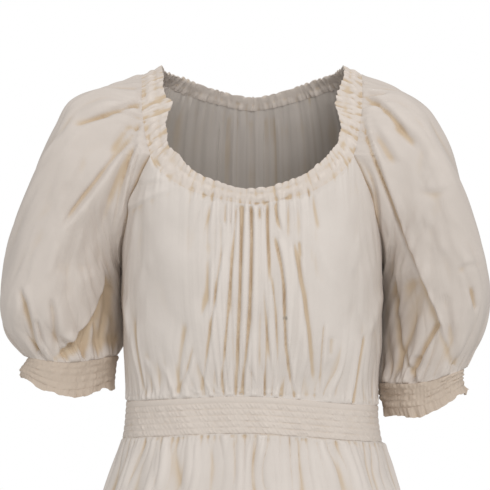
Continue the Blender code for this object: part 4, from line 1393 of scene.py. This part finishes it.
class DRESS_OT_waistband(bpy.types.Operator):
    """Make the stitched waistband, front and back"""

    bl_idname = "dress.waistband"
    bl_label = "Waistband"

    def execute(self, context):
        for face_name, face, cells in (("front", -1, 420), ("back", 1, 300)):
            self.half(face_name, face, cells, context.scene.dress_sizes)
        return {"FINISHED"}

    def half(self, face_name, face, cells, sizes):
        """A plain band at the top and channels below it, raised half sines between rows of stitching,
        puckered by slanting ridges that stop short of the sides."""
        seed = 600 if face < 0 else 620
        turn, inside = panel_turns(face, cells)
        down = np.linspace(0, 1, 49)[:, None]
        height = sizes.waist_top * (1 - down) + sizes.waist_bottom * down
        height = waist_height(turn, height, sizes)
        points = figure_point(turn + 0 * down, height)
        outward = level_outward(turn + 0 * down, height)
        across = from_middle(points[:1])
        tall = 1000 * (sizes.waist_top - sizes.waist_bottom) * down
        channel = down * sizes.stitch_rows
        number = np.minimum(np.floor(channel), sizes.stitch_rows - 1)
        crown = np.sin(math.pi * (channel - number)) ** 0.55
        edge = ease(inside / 0.16 - 0.25)
        top_band = 1 - 0.75 * (number == 0)
        slanted = across - 0.75 * tall + 1.3 * ripple(across / 11, number, seed)
        pucker = endless(slanted, 4.5, seed + 1, 0.9, 0.5)
        heights = 0.0004 + crown * (0.0007 + 0.0009 * pucker * edge * top_band)
        heights = heights + 0.0005 * ripple(across / 5, tall / 3.1, seed + 2) * edge * top_band * crown
        heights = heights + 0.0006 * ripple(across / 19, tall / 14, seed + 3)
        heights = heights * (1 - bell(inside, SIDE_SEAM))
        across, tall = [np.broadcast_to(part / 1000, heights.shape) for part in (1.3 * across, tall)]
        piece_of_cloth(
            "waistband_" + face_name, points, outward, heights, across, tall,
            shared_material("stitched cotton"), False,
        )


class DRESS_OT_skirt(bpy.types.Operator):
    """Make the three tiers of the skirt, front and back"""

    bl_idname = "dress.skirt"
    bl_label = "Tiered skirt"

    def execute(self, context):
        for tier, cells, rows in ((1, 420, 85), (2, 320, 45), (3, 320, 45)):
            self.panel(tier, "front", -1, cells, rows, context.scene.dress_sizes)
            back_cells = 3 * cells // 4
            self.panel(tier, "back", 1, back_cells, rows, context.scene.dress_sizes)
        return {"FINISHED"}

    def panel(self, tier, face_name, face, cells, rows, sizes):
        """The figure, stood out below the seam above, with the soft folds that run down the whole skirt,
        gathers of three sizes that die away below that seam and, on the last tier, the line of its hem."""
        seams = (sizes.waist_bottom, sizes.first_seam, sizes.second_seam, sizes.hem)
        top, bottom = seams[tier - 1], seams[tier]
        spring, top_wave, bottom_wave, deep = TIERS[tier]
        seed = 700 + 20 * tier + (10 if face > 0 else 0)
        turn, inside = panel_turns(face, cells)
        down = np.linspace(0, 1, rows)[:, None] ** 1.25
        from_top = waist_height(turn, top, sizes) if tier == 1 else top
        height = from_top * (1 - down) + bottom * down
        points = figure_point(turn + 0 * down, height)
        outward = level_outward(turn + 0 * down, height)
        across = 1000 * lengths_along(points[:1], 1)
        below = 1000 * lengths_along(points, 0)
        above_wave = 0.0 if tier == 1 else TIERS[tier - 1][2]
        stand = spring * (1 - np.exp(-down / 0.08)) * (1 - 0.8 * down)
        own = top_wave + (bottom_wave - top_wave) * down**0.8
        carried = above_wave * np.exp(-down / 0.06)
        swing = waves(turn / (2 * math.pi), TIER_WAVES, phase=0.4, wander=0.8)
        heights = stand + (own * (1 - np.exp(-down / 0.1)) + carried) * swing
        fine = gather_layers(across, below, seed, TIER_GATHERS)
        fine = fine + 0.0014 * ripple(across / 3.6, below / 3.4, seed + 4) * bell(below, 6.0)
        tuck = 1 - bell(below, 1.8)
        far = ease((below[-1:] - below) / 30) if tier < 3 else 1
        heights = heights + fine * tuck * far + 0.0007 * ripple(across / 20, below / 34, seed + 5) * tuck
        if tier == 3:
            heights = heights - 0.0006 * bell(below[-1:] - below - 11, 1.2)
        heights = heights - fine * bell(inside, SIDE_SEAM)
        across = np.broadcast_to(1.4 * across / 1000, heights.shape)
        piece_of_cloth(
            f"tier_{tier}_{face_name}", points, outward, heights, across, below / 1000,
            shared_material("woven cotton"), False, deep=deep,
        )


# The studio


class DRESS_OT_studio(bpy.types.Operator):
    """Make the floor, the soft lights and the camera"""

    bl_idname = "dress.studio"
    bl_label = "Studio"

    def execute(self, context):
        scene = context.scene
        scene.view_settings.view_transform = "Standard"
        self.floor(scene)
        self.world(scene)
        for name, (place, size, power) in LIGHTS.items():
            self.softbox(name, place, size, power)
        data = bpy.data.cameras.new("camera")
        camera = add_object("camera", data)
        look = Vector(AIM) - Vector(EYE)
        camera.location = EYE
        camera.rotation_euler = look.to_track_quat("-Z", "Y").to_euler()
        data.sensor_width = SENSOR_WIDTH
        data.lens = SENSOR_WIDTH * look.length / FRAME_WIDTH
        data.clip_end = 50
        scene.camera = camera
        return {"FINISHED"}

    def floor(self, scene):
        """A flat, round, pale floor: rings of points about the origin, all at one height."""
        rings, cells = 40, 96
        angle = 2 * math.pi * np.arange(cells) / cells
        radius = np.linspace(0.02, 6, rings)[:, None]
        x = radius * np.cos(angle)
        y = radius * np.sin(angle)
        points = np.stack([x, y, scene.dress_sizes.floor + 0 * x], axis=-1).reshape(-1, 3)
        ids = np.arange(rings * cells).reshape(rings, cells)
        ids = np.concatenate([ids, ids[:, :1]], axis=1)
        faces = cell_corners(ids)[:, ::-1].tolist() + [ids[0, :-1].tolist()]
        mesh = bpy.data.meshes.new("studio_floor")
        mesh.from_pydata(points.tolist(), [], faces)
        mesh.shade_smooth()
        paint = ClothMaterial("studio floor")
        place = paint.add("ShaderNodeTexCoord", output=3)
        cloudy = paint.noise(place, 1.3, 3.0)
        base = tuple(scene.dress_colours.floor)
        colour = paint.mixed(cloudy, tinted(base, 0.97, 0.97, 0.97), (*base, 1))
        paint.join(paint.shader, {"Base Color": colour, "Roughness": 0.9})
        mesh.materials.append(paint.material)
        floor = add_object("studio_floor", mesh)

    def world(self, scene):
        """White all round: full white behind the dress, softer where it lights the dress."""
        world = bpy.data.worlds.new("studio_world")
        world.use_nodes = True
        tree = world.node_tree
        background = tree.nodes["Background"]
        background.inputs["Color"].default_value = (1, 1, 1, 1)
        path = tree.nodes.new("ShaderNodeLightPath")
        strength = tree.nodes.new("ShaderNodeMix")
        strength.inputs[2].default_value = WORLD_LIGHT
        strength.inputs[3].default_value = 1.0
        tree.links.new(path.outputs["Is Camera Ray"], strength.inputs[0])
        tree.links.new(strength.outputs[0], background.inputs["Strength"])
        scene.world = world

    def softbox(self, name, place, size, power):
        """A square area light turned to its aim."""
        data = bpy.data.lights.new(name, "AREA")
        data.shape = "SQUARE"
        data.size = size
        data.energy = power
        light = add_object(name, data)
        light.location = place
        look = Vector(LIGHTS_AIM) - Vector(place)
        light.rotation_euler = look.to_track_quat("-Z", "Y").to_euler()


class DRESS_PT_pieces(bpy.types.Panel):
    """Lists the pieces of the dress"""

    bl_label = "Tiered midi dress"
    bl_idname = "DRESS_PT_pieces"
    bl_space_type = "VIEW_3D"
    bl_region_type = "UI"
    bl_category = "Dress"

    def draw(self, context):
        layout = self.layout
        for group in (context.scene.dress_sizes, context.scene.dress_colours):
            box = layout.box()
            for name in group.__annotations__:
                box.prop(group, name)
        for operator in OPERATORS:
            layout.operator(operator.bl_idname)


OPERATORS = (
    DRESS_OT_neck_casing,
    DRESS_OT_bodice,
    DRESS_OT_sleeves,
    DRESS_OT_cuffs,
    DRESS_OT_waistband,
    DRESS_OT_skirt,
    DRESS_OT_studio,
)
CLASSES = (DressSizes, DressColours, *OPERATORS, DRESS_PT_pieces)


def register():
    for item in CLASSES:
        bpy.utils.register_class(item)
    bpy.types.Scene.dress_sizes = bpy.props.PointerProperty(type=DressSizes)
    bpy.types.Scene.dress_colours = bpy.props.PointerProperty(type=DressColours)


def unregister():
    del bpy.types.Scene.dress_colours
    del bpy.types.Scene.dress_sizes
    for item in reversed(CLASSES):
        bpy.utils.unregister_class(item)


def main():
    register()
    bpy.ops.dress.neck_casing()
    bpy.ops.dress.bodice()
    bpy.ops.dress.sleeves()
    bpy.ops.dress.cuffs()
    bpy.ops.dress.waistband()
    bpy.ops.dress.skirt()
    bpy.ops.dress.studio()
    bpy.context.view_layer.update()


if __name__ == "__main__":
    main()
